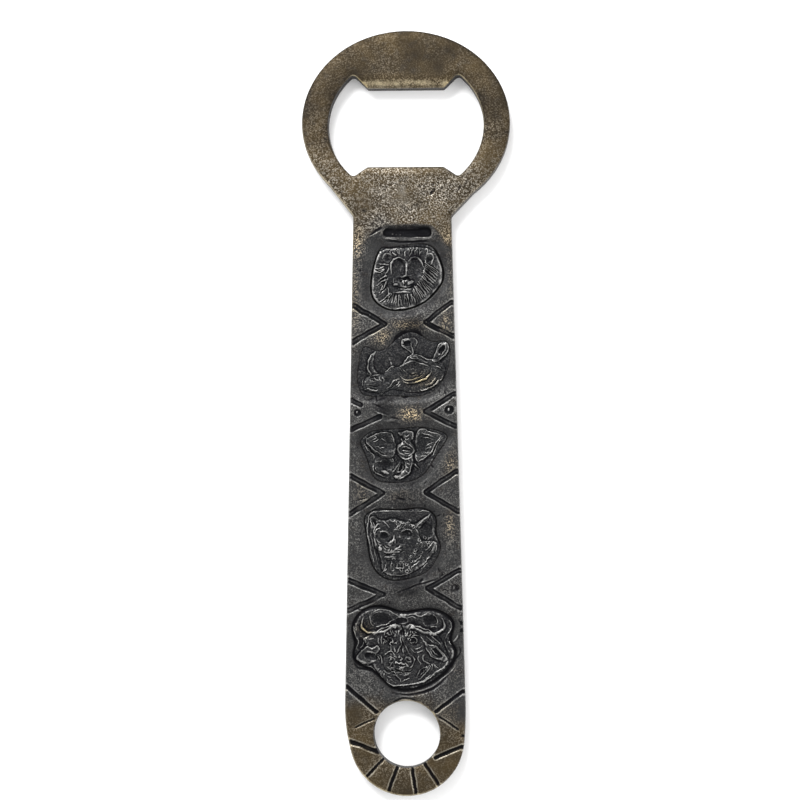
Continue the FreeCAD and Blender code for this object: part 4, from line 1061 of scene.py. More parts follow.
def make_elephant():
    relief, outline = new_tile("elephant_tile")
    left_ear = [(-2.6, -6.4), (-3.0, -5.4), (-4.3, -4.9), (-5.8, -4.9), (-7.3, -5.4),
                (-8.7, -6.0), (-9.5, -6.7), (-9.3, -7.6), (-8.4, -8.7), (-7.6, -9.9),
                (-6.4, -10.5), (-4.8, -11.1), (-3.4, -11.0), (-2.4, -9.9), (-2.2, -8.2)]
    relief.mound(left_ear, 0.26, 0.7)
    relief.dome((-5.2, -7.5), (3.1, 1.9), -0.4, -22)
    right_ear = [(2.3, -6.3), (2.6, -5.1), (3.4, -4.3), (4.4, -4.1), (5.5, -4.6), (6.7, -5.0),
                 (8.2, -5.4), (8.6, -6.0), (7.5, -7.3), (6.7, -8.6), (6.2, -10.0), (4.8, -11.2),
                 (3.2, -11.9), (2.4, -11.2), (2.2, -9.2)]
    relief.mound(right_ear, 0.26, 0.7)
    relief.dome((4.0, -7.9), (2.0, 3.0), -0.4, -20)
    skull = [(-1.9, -5.1), (-0.8, -4.8), (0.3, -4.5), (1.7, -4.8), (2.0, -6.0), (1.3, -7.1),
             (2.1, -8.2), (2.3, -9.3), (1.7, -10.4), (1.9, -11.8), (1.7, -13.3), (1.0, -14.8),
             (-0.4, -15.7), (-2.1, -15.9), (-2.7, -15.3), (-1.3, -14.7), (-0.3, -13.6),
             (-0.2, -12.2), (-0.9, -11.0), (-1.8, -10.2), (-2.2, -9.0), (-1.7, -7.8),
             (-0.7, -7.1), (-0.7, -6.2), (-1.5, -5.9)]
    relief.mound(skull, 0.4, 0.7)
    jaw = [(-7.9, -12.6), (-7.2, -11.6), (-5.6, -11.2), (-4.0, -11.1), (-2.8, -11.6),
           (-2.0, -12.8), (-2.6, -14.2), (-2.6, -15.6), (-3.0, -16.2), (-4.4, -16.0),
           (-5.8, -15.3), (-7.3, -14.6), (-7.9, -13.6)]
    relief.mound(jaw, 0.12, 0.8)
    relief.dome((-5.0, -12.5), (2.2, 1.4), -0.4, -8)
    relief.dome((0.2, -9.0), (1.7, 1.1), -0.22)
    relief.dome((-1.0, -13.3), (0.62, 1.15), -0.36, -12, 0.6)
    relief.dome((-4.7, -14.3), (1.15, 0.5), 0.34, -30)
    relief.dome((-2.3, -15.4), (0.6, 0.4), 0.28)
    relief.dome((0.3, -5.6), (1.2, 0.9), 0.12)
    draw(relief, [
        # left ear: rim, second rim, lobes and folds
        (0.45, 0.3, (-2.9, -6.3), (-3.1, -5.5), (-4.3, -5.0), (-5.8, -5.0), (-7.2, -5.5), (-8.6, -6.2),
         (-9.2, -6.7)),
        (0.45, 0.32, (-9.2, -6.6), (-9.1, -7.4), (-8.3, -8.3), (-7.4, -9.1), (-6.5, -9.8), (-5.2, -10.4),
         (-4.0, -10.7)),
        (0.3, 0.22, (-9.7, -6.8), (-9.6, -7.9), (-8.9, -9.2), (-8.0, -9.9), (-7.4, -10.8), (-7.8, -11.5)),
        (0.35, -0.25, (-9.4, -7.6), (-8.6, -8.7), (-7.7, -9.6), (-6.6, -10.3)),
        (0.35, 0.2, (-8.3, -7.0), (-7.6, -6.6), (-6.9, -6.2), (-7.3, -5.9), (-8.1, -6.4)),
        (0.3, 0.18, (-7.9, -7.2), (-7.0, -7.0), (-6.3, -6.4)),
        (0.3, 0.2, (-7.6, -7.9), (-6.6, -8.4), (-5.6, -8.8), (-4.6, -9.6)),
        (0.35, 0.22, (-6.2, -8.6), (-5.4, -8.4), (-4.8, -8.5)),
        (0.3, 0.16, (-6.6, -9.2), (-5.4, -9.7), (-4.2, -10.2)),
        (0.3, 0.14, (-5.9, -6.0), (-4.9, -6.8), (-4.4, -7.9)),
        (0.35, 0.22, (-3.4, -5.4), (-2.7, -6.3), (-2.8, -7.3)),
        (0.35, 0.26, (-3.4, -11.0), (-2.9, -11.5), (-3.2, -12.3)),
        (0.35, 0.24, (-2.6, -10.6), (-2.2, -11.2), (-2.6, -12.0)),
        # right ear
        (0.45, 0.32, (2.3, -6.2), (2.7, -5.0), (3.5, -4.3), (4.4, -4.1), (5.4, -4.6)),
        (0.4, 0.26, (4.6, -4.3), (5.8, -4.9), (7.0, -5.1), (8.3, -5.6)),
        (0.45, 0.32, (8.5, -5.7), (8.0, -6.5), (7.2, -7.3), (6.6, -8.4), (6.1, -9.5), (4.8, -10.7),
         (3.6, -11.5), (2.9, -11.9)),
        (0.3, 0.22, (9.3, -5.3), (8.6, -6.3), (7.6, -7.4), (7.1, -8.8), (6.6, -10.1), (5.5, -11.2)),
        (0.3, -0.24, (8.2, -6.5), (7.2, -7.9), (6.6, -9.4), (5.3, -10.9)),
        (0.35, 0.24, (3.8, -5.0), (4.8, -5.5), (6.0, -5.7), (7.2, -6.2)),
        (0.3, 0.2, (3.4, -5.9), (4.6, -6.2), (5.8, -6.4), (6.7, -7.1)),
        (0.3, 0.18, (4.6, -8.4), (5.6, -7.7), (6.9, -7.3)),
        (0.28, 0.14, (4.4, -9.1), (5.4, -8.6), (6.4, -8.4)),
        (0.28, 0.14, (4.2, -9.6), (5.0, -9.8), (5.8, -9.7)),
        (0.3, 0.16, (3.4, -10.4), (4.2, -10.5), (5.0, -10.2)),
        (0.35, 0.22, (2.4, -10.8), (2.8, -11.6), (3.3, -12.3)),
        # forehead and brow ring
        (0.4, 0.24, (-1.8, -5.2), (-1.2, -5.7), (-0.7, -5.1), (0.3, -4.7), (1.5, -4.9), (1.8, -5.8),
         (1.5, -6.9)),
        (0.3, 0.2, (-0.5, -5.4), (0.2, -5.9), (1.0, -5.4)),
        (0.3, 0.18, (-0.4, -6.2), (0.3, -6.7), (1.2, -6.2)),
        (0.35, 0.22, (-1.4, -6.4), (-0.7, -6.9), (-0.9, -7.6)),
        (0.35, 0.24, (-0.2, -6.5), (0.0, -7.4), (0.6, -7.8)),
        (0.28, -0.24, (-0.4, -6.0), (-0.2, -7.0), (-0.4, -7.8)),
        (0.4, 0.3, (0.1, -7.7), (-1.0, -8.0), (-1.8, -8.8), (-1.5, -9.7), (-0.6, -10.2), (0.2, -10.6)),
        (0.4, 0.3, (0.1, -7.7), (1.3, -8.1), (1.9, -8.9), (1.7, -9.7), (1.0, -10.3), (0.2, -10.6)),
        (0.3, 0.22, (-1.2, -8.7), (-0.2, -8.4), (0.9, -8.6), (1.4, -8.9)),
        (0.28, 0.2, (-1.1, -9.2), (0.0, -9.3), (1.2, -9.3)),
        (0.26, -0.22, (-1.0, -8.95), (0.0, -8.9), (1.2, -9.0)),
        (0.28, 0.16, (-0.6, -9.8), (0.2, -9.9), (0.9, -9.8)),
        # trunk
        (0.45, 0.3, (1.5, -11.9), (1.4, -13.1), (0.9, -14.4), (-0.3, -15.4), (-1.5, -15.7)),
        (0.35, 0.26, (-0.7, -11.4), (-0.6, -12.6), (-0.8, -13.9), (-1.5, -14.4), (-2.2, -14.1)),
        (0.35, 0.26, (-1.1, -11.6), (-1.8, -12.6), (-2.6, -13.8), (-3.3, -14.6)),
        (0.28, 0.18, (0.6, -11.4), (1.2, -11.8)),
        (0.28, 0.18, (0.4, -12.2), (1.3, -12.6)),
        (0.28, 0.18, (0.2, -13.1), (1.1, -13.5)),
        (0.28, 0.16, (-0.1, -14.0), (0.7, -14.6)),
        (0.5, 0.3, (-1.0, -10.6), (-0.6, -11.1), (0.2, -11.3), (0.9, -11.0), (1.5, -10.7)),
        # tusk, jaw
        (0.45, 0.4, (1.8, -12.2), (2.6, -12.9), (3.5, -13.8)),
        (0.3, 0.2, (1.9, -12.9), (2.3, -13.6), (2.4, -14.4)),
        (0.4, 0.28, (-7.4, -12.4), (-7.7, -13.3), (-7.0, -14.4), (-5.8, -15.0), (-4.6, -15.4),
         (-3.4, -15.9)),
        (0.3, 0.18, (-7.2, -12.9), (-6.8, -13.9), (-5.7, -14.5)),
        (0.3, 0.1, (-7.4, -12.4), (-6.4, -11.8), (-5.0, -11.6)),
    ])
    finish_tile("elephant_tile", relief, outline, 50)


ROSETTES = 230        # tries at placing a rosette. Those outside the coat are skipped.


def make_leopard():
    relief, outline = new_tile("leopard_tile")
    shield = [(-8.6, -24.8), (-7.8, -23.7), (-6.2, -23.5), (-0.6, -23.4), (5.4, -23.5),
              (6.6, -24.3), (6.9, -26.4), (7.0, -28.8), (7.8, -30.6), (7.6, -32.6), (6.6, -34.8),
              (5.0, -36.8), (2.4, -38.4), (-1.4, -38.9), (-4.6, -38.8), (-6.6, -37.4),
              (-7.8, -34.0), (-8.6, -30.6), (-9.0, -27.6)]
    relief.mound(shield, 0.16, 1.4)
    relief.stroke(shield[14:] + shield[:7], 0.36, 0.24)
    relief.stroke([(-7.9, -25.6), (-8.2, -28.0), (-7.7, -31.2), (-6.9, -34.4), (-6.0, -37.4)], 0.3, 0.22)
    head = [(-8.1, -24.9), (-7.2, -24.6), (-6.2, -25.4), (-5.0, -25.6), (-3.4, -25.2),
            (-1.4, -25.5), (0.4, -25.9), (2.0, -26.4), (3.4, -25.6), (5.0, -24.6), (5.9, -24.0),
            (5.6, -25.0), (4.2, -26.6), (2.9, -28.0), (3.2, -29.4), (4.2, -30.4), (6.4, -30.4),
            (7.4, -31.4), (6.4, -33.6), (4.6, -35.6), (2.2, -37.6), (-1.0, -38.5), (-4.2, -38.4),
            (-5.6, -37.2), (-5.8, -35.0), (-6.4, -33.2), (-7.4, -31.4), (-8.0, -28.8),
            (-8.3, -26.6)]
    relief.mound(head, 0.34, 0.8)
    relief.dome((-2.6, -29.2), (4.4, 4.0), 0.16, 0, 0.8)
    relief.dome((-3.4, -32.2), (2.5, 1.7), 0.22, -10)
    relief.dome((5.0, -27.9), (1.5, 1.9), -0.3, 25, 0.6)
    relief.dome((-4.9, -29.2), (1.3, 1.0), -0.36, -20)
    relief.dome((0.2, -28.9), (1.6, 1.1), -0.34, 8)
    relief.dome((0.9, -28.7), (0.4, 0.25), 0.14)
    relief.dome((-0.6, -30.5), (1.5, 1.1), -0.2, -10)
    relief.dome((-7.4, -26.2), (0.75, 1.0), -0.26, 15, 0.7)
    relief.dome((-3.6, -31.2), (0.95, 0.6), 0.24, -15)
    relief.dome((-4.1, -31.6), (0.32, 0.2), -0.22)
    relief.dome((-3.1, -31.5), (0.32, 0.2), -0.22)
    relief.dome((-6.0, -32.2), (0.55, 0.65), 0.36)
    relief.dome((-2.2, -32.5), (1.5, 0.75), 0.12, 14)
    relief.dome((-3.0, -30.5), (0.75, 0.5), 0.36, 40)
    relief.dome((-3.6, -34.4), (1.6, 0.65), 0.2)
    draw(relief, [
        # ears
        (0.42, 0.28, (-6.2, -28.4), (-7.2, -28.9), (-7.3, -27.8), (-6.6, -26.6), (-5.7, -26.6)),
        (0.4, 0.28, (-8.0, -26.8), (-8.3, -25.6), (-7.9, -24.9), (-6.9, -25.2), (-5.9, -26.0)),
        (0.35, 0.22, (-7.8, -25.8), (-7.4, -26.8), (-7.6, -27.6)),
        (0.6, 0.4, (2.1, -27.5), (2.8, -26.7), (3.9, -25.8), (5.0, -24.8), (5.9, -24.1)),
        (0.35, 0.24, (2.4, -26.6), (3.2, -25.9), (4.2, -25.3)),
        (0.4, 0.24, (5.9, -24.2), (6.4, -25.4), (6.5, -27.0), (6.5, -28.4)),
        (0.35, 0.24, (1.9, -27.4), (2.8, -28.2), (3.2, -29.4), (4.0, -30.3)),
        # brow and forehead
        (0.45, 0.26, (-7.0, -30.0), (-7.2, -28.8), (-6.6, -27.7), (-5.6, -27.2)),
        (0.4, 0.24, (-6.0, -28.4), (-5.0, -28.1), (-4.0, -28.6)),
        (0.4, 0.24, (-1.2, -28.3), (0.0, -27.8), (1.2, -28.0), (1.7, -28.8)),
        (0.4, 0.24, (-5.2, -25.7), (-4.4, -26.5), (-3.8, -27.3)),
        (0.35, 0.22, (-3.7, -25.4), (-3.1, -26.0), (-2.4, -25.6)),
        (0.35, 0.2, (-1.6, -25.7), (-0.8, -26.4), (0.0, -26.0)),
        (0.4, 0.26, (-2.4, -27.5), (-1.6, -27.0), (-0.9, -26.5)),
        (0.3, 0.2, (-2.8, -28.2), (-2.3, -27.7), (-1.7, -27.8)),
        # nose and mouth
        (0.55, 0.32, (-2.6, -28.9), (-2.9, -30.0), (-3.6, -30.8), (-4.2, -31.0)),
        (0.45, 0.3, (-2.7, -29.6), (-2.4, -30.6), (-2.5, -31.2)),
        (0.45, -0.3, (-5.2, -31.2), (-4.6, -32.1), (-3.6, -32.4)),
        (0.5, 0.3, (-3.0, -33.0), (-2.2, -32.3), (-1.3, -31.9), (-0.5, -31.7)),
        (0.6, -0.36, (-5.2, -33.2), (-4.2, -33.5), (-3.0, -33.4), (-2.0, -33.2)),
        (0.35, -0.24, (-3.6, -31.9), (-3.6, -32.6), (-3.9, -33.2)),
        (0.45, 0.28, (-5.2, -34.0), (-4.1, -34.2), (-2.6, -34.2)),
        (0.3, -0.18, (-1.8, -33.6), (-1.0, -33.0), (0.2, -32.4)),
        (0.26, 0.14, (-2.6, -32.6), (-1.6, -32.5), (-0.7, -32.6)),
        (0.26, 0.12, (-2.4, -33.0), (-1.4, -32.9), (-0.6, -33.1)),
        # left flank of the head and the neck
        (0.4, 0.26, (-7.4, -29.4), (-7.2, -30.6), (-6.8, -31.4)),
        (0.35, 0.22, (-6.9, -29.8), (-6.4, -30.6), (-5.8, -30.8)),
        (0.35, 0.2, (-6.6, -30.8), (-5.9, -31.4), (-5.4, -31.2)),
        (0.4, 0.26, (-4.4, -35.2), (-4.6, -36.6), (-5.2, -37.6), (-5.6, -38.0)),
        (0.4, 0.24, (-5.6, -37.9), (-4.6, -37.3), (-4.2, -36.8)),
        (0.35, 0.2, (-3.4, -35.0), (-3.3, -36.2), (-3.7, -37.3)),
        (0.35, 0.2, (-2.2, -35.0), (-2.0, -36.2), (-2.2, -37.2)),
        (0.35, 0.2, (-0.8, -35.2), (-0.4, -36.3), (-0.8, -37.2)),
        (0.35, 0.22, (-2.8, -37.0), (-1.2, -36.9), (0.2, -36.6)),
        (0.35, 0.22, (-3.8, -38.2), (-2.0, -38.6), (0.0, -38.3), (1.8, -37.6)),
        (0.4, 0.24, (0.6, -37.4), (2.0, -36.2), (3.4, -35.0)),
        (0.42, 0.28, (6.5, -30.6), (5.6, -31.8), (4.6, -32.8)),
        (0.3, 0.16, (4.0, -33.4), (3.0, -34.6), (1.8, -35.6)),
        (0.35, -0.2, (6.8, -31.2), (5.8, -32.8), (4.8, -33.8)),
        (0.34, 0.2, (7.4, -30.8), (7.3, -32.2), (6.6, -33.6)),
        (0.34, 0.14, (5.8, -34.8), (4.8, -36.0), (3.4, -37.2)),
        (0.3, 0.2, (5.6, -34.0), (5.0, -35.0), (4.0, -36.2)),
    ])
    # Rosettes: small pits with raised rims over the cheek, crown and neck.
    chance = np.random.default_rng(7)
    for _ in range(ROSETTES):
        x, y = chance.uniform(-3.4, 6.6), chance.uniform(-37.6, -25.8)
        on_cheek = x > 0.9 + 0.55 * (y + 34) and x < 5.9 + 0.85 * (y + 31) * (y < -31)
        on_crown = y > -28.0 and x < 1.6 + 0.4 * (y + 28)
        on_neck = y < -34.6 and x < 1.6
        if (on_cheek and y < -29.6) or on_crown or on_neck:
            size = chance.uniform(0.2, 0.36)
            relief.dome((x, y), (size * 1.5, size * 1.3), 0.14)
            relief.dome((x, y), (size * 0.8, size * 0.7), -0.32)
    finish_tile("leopard_tile", relief, outline, 60)


def make_buffalo():
    relief, outline = new_tile("buffalo_tile")
    face = [(-7.0, -51.6), (-4.4, -50.3), (-2.4, -49.7), (-0.6, -50.3), (1.2, -49.8),
            (3.2, -50.3), (5.4, -51.2), (7.6, -52.4), (8.6, -54.0), (9.6, -56.4), (10.2, -58.2),
            (9.2, -60.2), (6.8, -62.0), (4.4, -63.4), (1.4, -64.2), (-1.6, -64.5), (-3.4, -64.5),
            (-5.0, -63.0), (-7.0, -60.6), (-8.2, -59.2), (-11.2, -58.6), (-11.6, -57.8),
            (-10.3, -56.2), (-9.2, -54.8), (-9.8, -53.2)]
    relief.mound(face, 0.3, 0.7)
    left_horn = [(-9.7, -48.2), (-10.2, -49.4), (-10.3, -50.7), (-9.3, -51.6), (-7.8, -51.9),
                 (-6.0, -51.5), (-4.3, -50.8), (-2.6, -50.4)]
    right_horn = [(8.3, -48.2), (9.0, -49.2), (9.1, -50.5), (8.2, -51.5), (6.5, -52.0),
                  (4.9, -51.7), (3.4, -51.2), (2.0, -50.6)]
    for horn in (left_horn, right_horn):
        relief.stroke(horn, 1.8, 0.34, "start")
        relief.stroke(horn[:6], 0.7, 0.24)
    relief.dome((-2.2, -50.3), (1.1, 0.7), 0.2, -15)
    relief.dome((1.2, -50.5), (1.4, 0.85), 0.24, 10)
    # Both horns are cracked lengthwise where they meet the boss.
    relief.stroke([(-6.6, -51.8), (-5.4, -51.3), (-4.2, -50.75), (-3.2, -50.4)], 0.65, -0.42)
    relief.stroke([(2.3, -50.5), (3.6, -50.95), (4.9, -51.4), (6.0, -51.8)], 0.6, -0.4)
    relief.dome((-0.9, -57.0), (3.0, 6.0), 0.26, 0, 0.8)
    left_ear = [(-11.4, -58.0), (-10.3, -56.3), (-9.0, -55.0), (-7.8, -55.3), (-6.4, -54.9),
                (-5.9, -55.7), (-6.7, -57.0), (-7.0, -58.3), (-8.3, -59.2), (-10.1, -59.0),
                (-11.2, -58.6)]
    right_ear = [(4.1, -53.7), (5.6, -54.7), (7.0, -54.9), (8.3, -56.0), (9.5, -57.4),
                 (9.8, -58.2), (8.6, -58.6), (7.3, -58.2), (6.0, -57.4), (5.1, -56.2), (4.6, -54.9)]
    relief.mound(left_ear, 0.26, 0.5)
    relief.mound(right_ear, 0.26, 0.5)
    relief.dome((-8.0, -57.4), (1.7, 0.9), -0.42, -10, 0.6)
    relief.dome((7.3, -56.7), (0.8, 1.7), -0.34, 48, 0.6)
    # Deep shade inside the curl of each horn and under the boss.
    relief.dome((-5.7, -48.6), (2.4, 1.5), -0.34, 0, 0.6)
    relief.dome((5.7, -49.0), (1.7, 1.3), -0.34, 0, 0.6)
    relief.dome((-0.9, -49.0), (1.4, 0.8), -0.3, 0, 0.6)
    relief.dome((-10.4, -54.6), (1.2, 1.6), -0.3, 0, 0.6)
    relief.dome((7.6, -53.4), (1.3, 0.8), -0.3, -40, 0.6)
    relief.dome((-0.7, -51.8), (0.7, 0.8), -0.3)
    # Wrinkles crowd round each eye and over the muzzle.
    chance = np.random.default_rng(9)
    for middle, half, count in (((-3.7, -53.6), (1.9, 1.7), 24), ((1.8, -53.4), (2.0, 1.7), 24),
                                ((-1.6, -59.6), (3.0, 2.4), 40)):
        relief.dome(middle, half, -0.2, 0, 0.7)
        for _ in range(count):
            turn = chance.uniform(0, 2 * math.pi)
            reach = chance.uniform(0.2, 1.0)
            spot = np.array(middle) + reach * np.array(half) * (math.cos(turn), math.sin(turn))
            lean = turn + math.pi / 2 + chance.normal(0, 0.5)
            run = chance.uniform(0.2, 0.6) * np.array([math.cos(lean), math.sin(lean)])
            relief.stroke([spot - run, spot + run], 0.36, chance.uniform(0.16, 0.34))
    relief.dome((-2.0, -58.9), (3.5, 2.3), 0.3, 0, 0.8)
    for nostril, turn in (((-3.3, -58.5), 25), ((0.7, -58.3), -25)):
        relief.dome(nostril, (0.8, 0.62), 0.16, turn)
        relief.dome(nostril, (0.5, 0.34), -0.34, turn, 0.7)
    draw(relief, [
        # horn curls and the edge of the poll
        (0.85, 0.36, (-10.6, -49.8), (-10.0, -51.0), (-8.8, -51.8), (-7.2, -52.1)),
        (0.4, 0.26, (-8.3, -47.7), (-8.4, -48.8), (-8.1, -49.8), (-7.3, -50.4)),
        (0.4, 0.28, (-5.6, -50.2), (-4.4, -49.8), (-3.4, -49.2), (-2.4, -48.8)),
        (0.3, 0.2, (-7.2, -50.5), (-6.2, -50.4), (-5.2, -49.9)),
        (0.35, 0.2, (-8.5, -47.9), (-7.2, -46.9), (-5.6, -46.5), (-4.0, -46.7), (-2.4, -47.6),
         (-1.2, -48.3)),
        (0.35, 0.2, (0.2, -47.7), (1.8, -47.6), (3.4, -48.1), (4.6, -47.7), (5.4, -47.3), (6.6, -47.5)),
        (0.4, 0.28, (6.4, -47.4), (7.2, -48.2), (7.5, -49.4), (6.8, -50.1)),
        (0.35, 0.22, (7.6, -50.6), (6.6, -50.5), (5.6, -50.6)),
        (0.3, 0.18, (0.3, -48.4), (1.6, -48.3), (2.8, -48.8)),
        # boss wrinkles
        (0.35, 0.22, (-3.2, -50.0), (-2.4, -49.8), (-1.7, -50.3), (-1.4, -51.0)),
        (0.35, 0.22, (0.2, -51.0), (0.6, -50.2), (1.4, -49.9), (2.2, -50.1)),
        (0.3, 0.2, (0.9, -51.2), (1.4, -50.7), (2.3, -50.6)),
        (0.35, 0.24, (2.2, -50.4), (2.7, -51.0), (3.6, -51.2)),
        (0.4, -0.3, (-1.2, -49.8), (-0.7, -51.0), (-0.6, -52.0)),
        # bridge of the nose
        (0.42, 0.3, (-0.9, -52.2), (-1.2, -53.4), (-1.0, -54.6), (-1.8, -56.0), (-2.3, -56.9)),
        (0.42, 0.3, (-0.6, -52.4), (-0.5, -53.8), (0.0, -55.0), (0.7, -56.4), (1.4, -57.3)),
        (0.3, -0.2, (-0.9, -54.6), (-1.0, -55.8), (-0.8, -57.0)),
        (0.3, 0.18, (-0.6, -55.2), (-0.6, -56.2), (-0.4, -57.2)),
        (0.3, 0.2, (-2.8, -55.2), (-2.5, -55.9), (-2.4, -56.7)),
        (0.3, 0.18, (-3.4, -55.2), (-3.3, -56.0), (-3.6, -56.8)),
        (0.3, 0.18, (1.2, -55.4), (1.8, -56.2), (2.6, -56.6)),
        (0.3, 0.18, (1.8, -55.6), (2.8, -55.7), (3.6, -55.2), (4.2, -54.3)),
        (0.3, 0.16, (2.2, -56.4), (3.4, -56.4), (4.4, -55.6)),
        # muzzle ring, lips and chin
        (0.45, 0.3, (-6.8, -57.0), (-5.9, -57.4), (-5.5, -58.6), (-5.7, -59.5)),
        (0.4, 0.26, (-5.2, -57.4), (-4.4, -56.6), (-3.4, -56.2), (-2.6, -56.9), (-2.0, -57.4)),
        (0.45, 0.3, (0.7, -57.2), (1.8, -57.6), (2.1, -58.6), (1.6, -59.7), (0.4, -60.4)),
        (0.35, 0.24, (-4.4, -57.9), (-3.5, -57.6), (-2.6, -58.0), (-2.4, -58.9)),
        (0.35, 0.24, (-0.3, -58.6), (0.1, -57.8), (0.9, -57.6), (1.4, -58.2)),
        (0.4, 0.24, (-2.0, -58.4), (-1.5, -59.1), (-0.9, -58.4)),
        (0.4, 0.26, (-4.6, -59.4), (-3.9, -60.2), (-2.9, -60.0), (-2.0, -59.6)),
        (0.4, 0.26, (-1.8, -59.8), (-0.9, -60.2), (0.2, -59.6)),
        (0.5, -0.36, (-5.2, -60.1), (-4.0, -60.9), (-2.4, -60.6), (-0.8, -60.9), (1.0, -60.9),
         (2.2, -60.0)),
        (0.35, 0.24, (-5.2, -60.6), (-4.4, -61.3), (-3.6, -61.5)),
        (0.4, 0.26, (-3.4, -61.7), (-2.2, -62.0), (-1.3, -62.8), (-1.0, -63.6)),
        (0.4, 0.26, (-1.0, -63.4), (0.2, -62.8), (1.4, -62.4)),
        (0.3, 0.18, (-2.2, -61.2), (-1.4, -61.6), (-0.6, -61.3)),
        (0.3, 0.18, (-0.8, -61.9), (0.2, -61.7), (0.9, -61.3)),
        (0.3, 0.18, (-3.8, -62.8), (-2.8, -63.2), (-1.8, -63.8)),
        (0.3, 0.16, (-4.6, -61.9), (-3.8, -62.4), (-3.0, -62.6)),
        # left ear and temple
        (0.5, 0.32, (-11.3, -58.6), (-11.4, -57.9), (-10.3, -56.4), (-9.0, -55.2), (-8.3, -55.1)),
        (0.4, 0.24, (-8.6, -55.4), (-7.6, -55.7), (-6.6, -55.0), (-6.1, -55.3)),
        (0.35, 0.24, (-6.5, -56.2), (-7.0, -57.0), (-6.2, -57.8), (-6.0, -58.8)),
        (0.35, 0.22, (-10.6, -58.9), (-9.2, -59.1), (-8.1, -59.4)),
        (0.35, 0.22, (-8.9, -53.5), (-8.0, -53.4), (-7.4, -53.2)),
        (0.3, 0.2, (-10.4, -52.9), (-9.7, -53.8), (-10.0, -54.9), (-11.0, -56.2)),
        (0.3, -0.22, (-9.6, -52.9), (-9.0, -54.0), (-9.4, -54.9)),
        (0.35, 0.24, (-11.4, -47.8), (-12.0, -49.4), (-12.2, -51.2), (-11.6, -52.9), (-11.0, -54.2),
         (-11.6, -55.8), (-11.8, -57.2)),
        (0.3, 0.2, (-5.6, -52.4), (-5.8, -53.6), (-5.4, -54.8)),
        (0.3, 0.18, (-6.2, -52.6), (-6.5, -53.8), (-6.1, -54.8)),
        # right ear, temple and cheek
        (0.45, 0.3, (3.9, -53.4), (5.5, -54.6), (7.0, -55.0), (8.3, -56.1), (9.5, -57.5), (9.6, -58.3)),
        (0.4, 0.26, (4.4, -54.4), (5.1, -56.0), (6.1, -57.4), (7.6, -58.1), (8.8, -58.3)),
        (0.35, 0.2, (5.8, -55.5), (6.8, -56.6), (8.0, -57.6)),
        (0.35, 0.22, (5.6, -52.6), (6.8, -53.2), (7.8, -54.2), (8.6, -55.4)),
        (0.3, 0.2, (4.6, -52.5), (5.8, -53.6), (6.9, -54.4)),
        (0.3, 0.2, (3.2, -52.6), (4.0, -53.4), (4.2, -54.4)),
        (0.35, 0.24, (9.8, -48.1), (10.6, -49.6), (10.5, -51.2), (9.6, -52.8), (9.3, -54.2), (10.0, -55.8),
         (10.6, -57.2)),
        (0.3, 0.2, (11.2, -51.6), (11.5, -53.0), (10.3, -53.9), (10.9, -54.9), (11.6, -56.0)),
        (0.35, 0.24, (3.4, -56.9), (2.9, -58.0), (3.6, -59.0), (3.0, -60.2)),
        (0.35, 0.22, (4.4, -56.8), (4.1, -58.0), (5.2, -59.0), (6.6, -59.4)),
        (0.4, 0.28, (2.5, -62.9), (3.0, -61.4), (4.0, -60.2), (5.8, -59.5)),
        (0.4, 0.28, (2.5, -62.9), (3.8, -62.2), (5.1, -60.9), (5.9, -59.7)),
        (0.3, 0.18, (3.1, -62.2), (4.0, -61.2), (5.2, -60.1)),
        (0.4, 0.28, (6.2, -61.2), (5.0, -62.6), (3.4, -63.4), (1.8, -63.7)),
        # line round the lower face
        (0.42, 0.3, (-10.4, -59.6), (-8.2, -59.8), (-6.9, -61.0), (-5.2, -62.7), (-3.7, -63.9),
         (-1.6, -64.2), (1.6, -64.0), (4.4, -63.3), (6.6, -61.6), (9.2, -59.6), (10.1, -58.0)),
    ])
    relief.strands([(-6.2, -60.4), (-5.2, -61.4), (-4.4, -62.2)],
                   [(-6.6, -60.9), (-5.6, -62.2), (-4.2, -63.6)], 8, 0.3, 0.16, 71, 0.1)
    relief.strands([(4.4, -60.2), (5.6, -59.4), (7.0, -59.4)],
                   [(4.4, -62.0), (6.2, -61.4), (8.0, -60.2)], 11, 0.3, 0.18, 72, 0.1)
    relief.strands([(-4.8, -51.9), (-2.4, -51.5), (-0.2, -51.7), (2.4, -51.6)],
                   [(-5.0, -52.7), (-2.2, -52.3), (-0.4, -52.7), (2.8, -52.3)], 12, 0.28, 0.14, 73, 0.1)
    finish_tile("buffalo_tile", relief, outline, 70, [((-9.6, -51.2), (1.6, 1.4), 0.9)])


# ---------------------------------------------------------------- materials

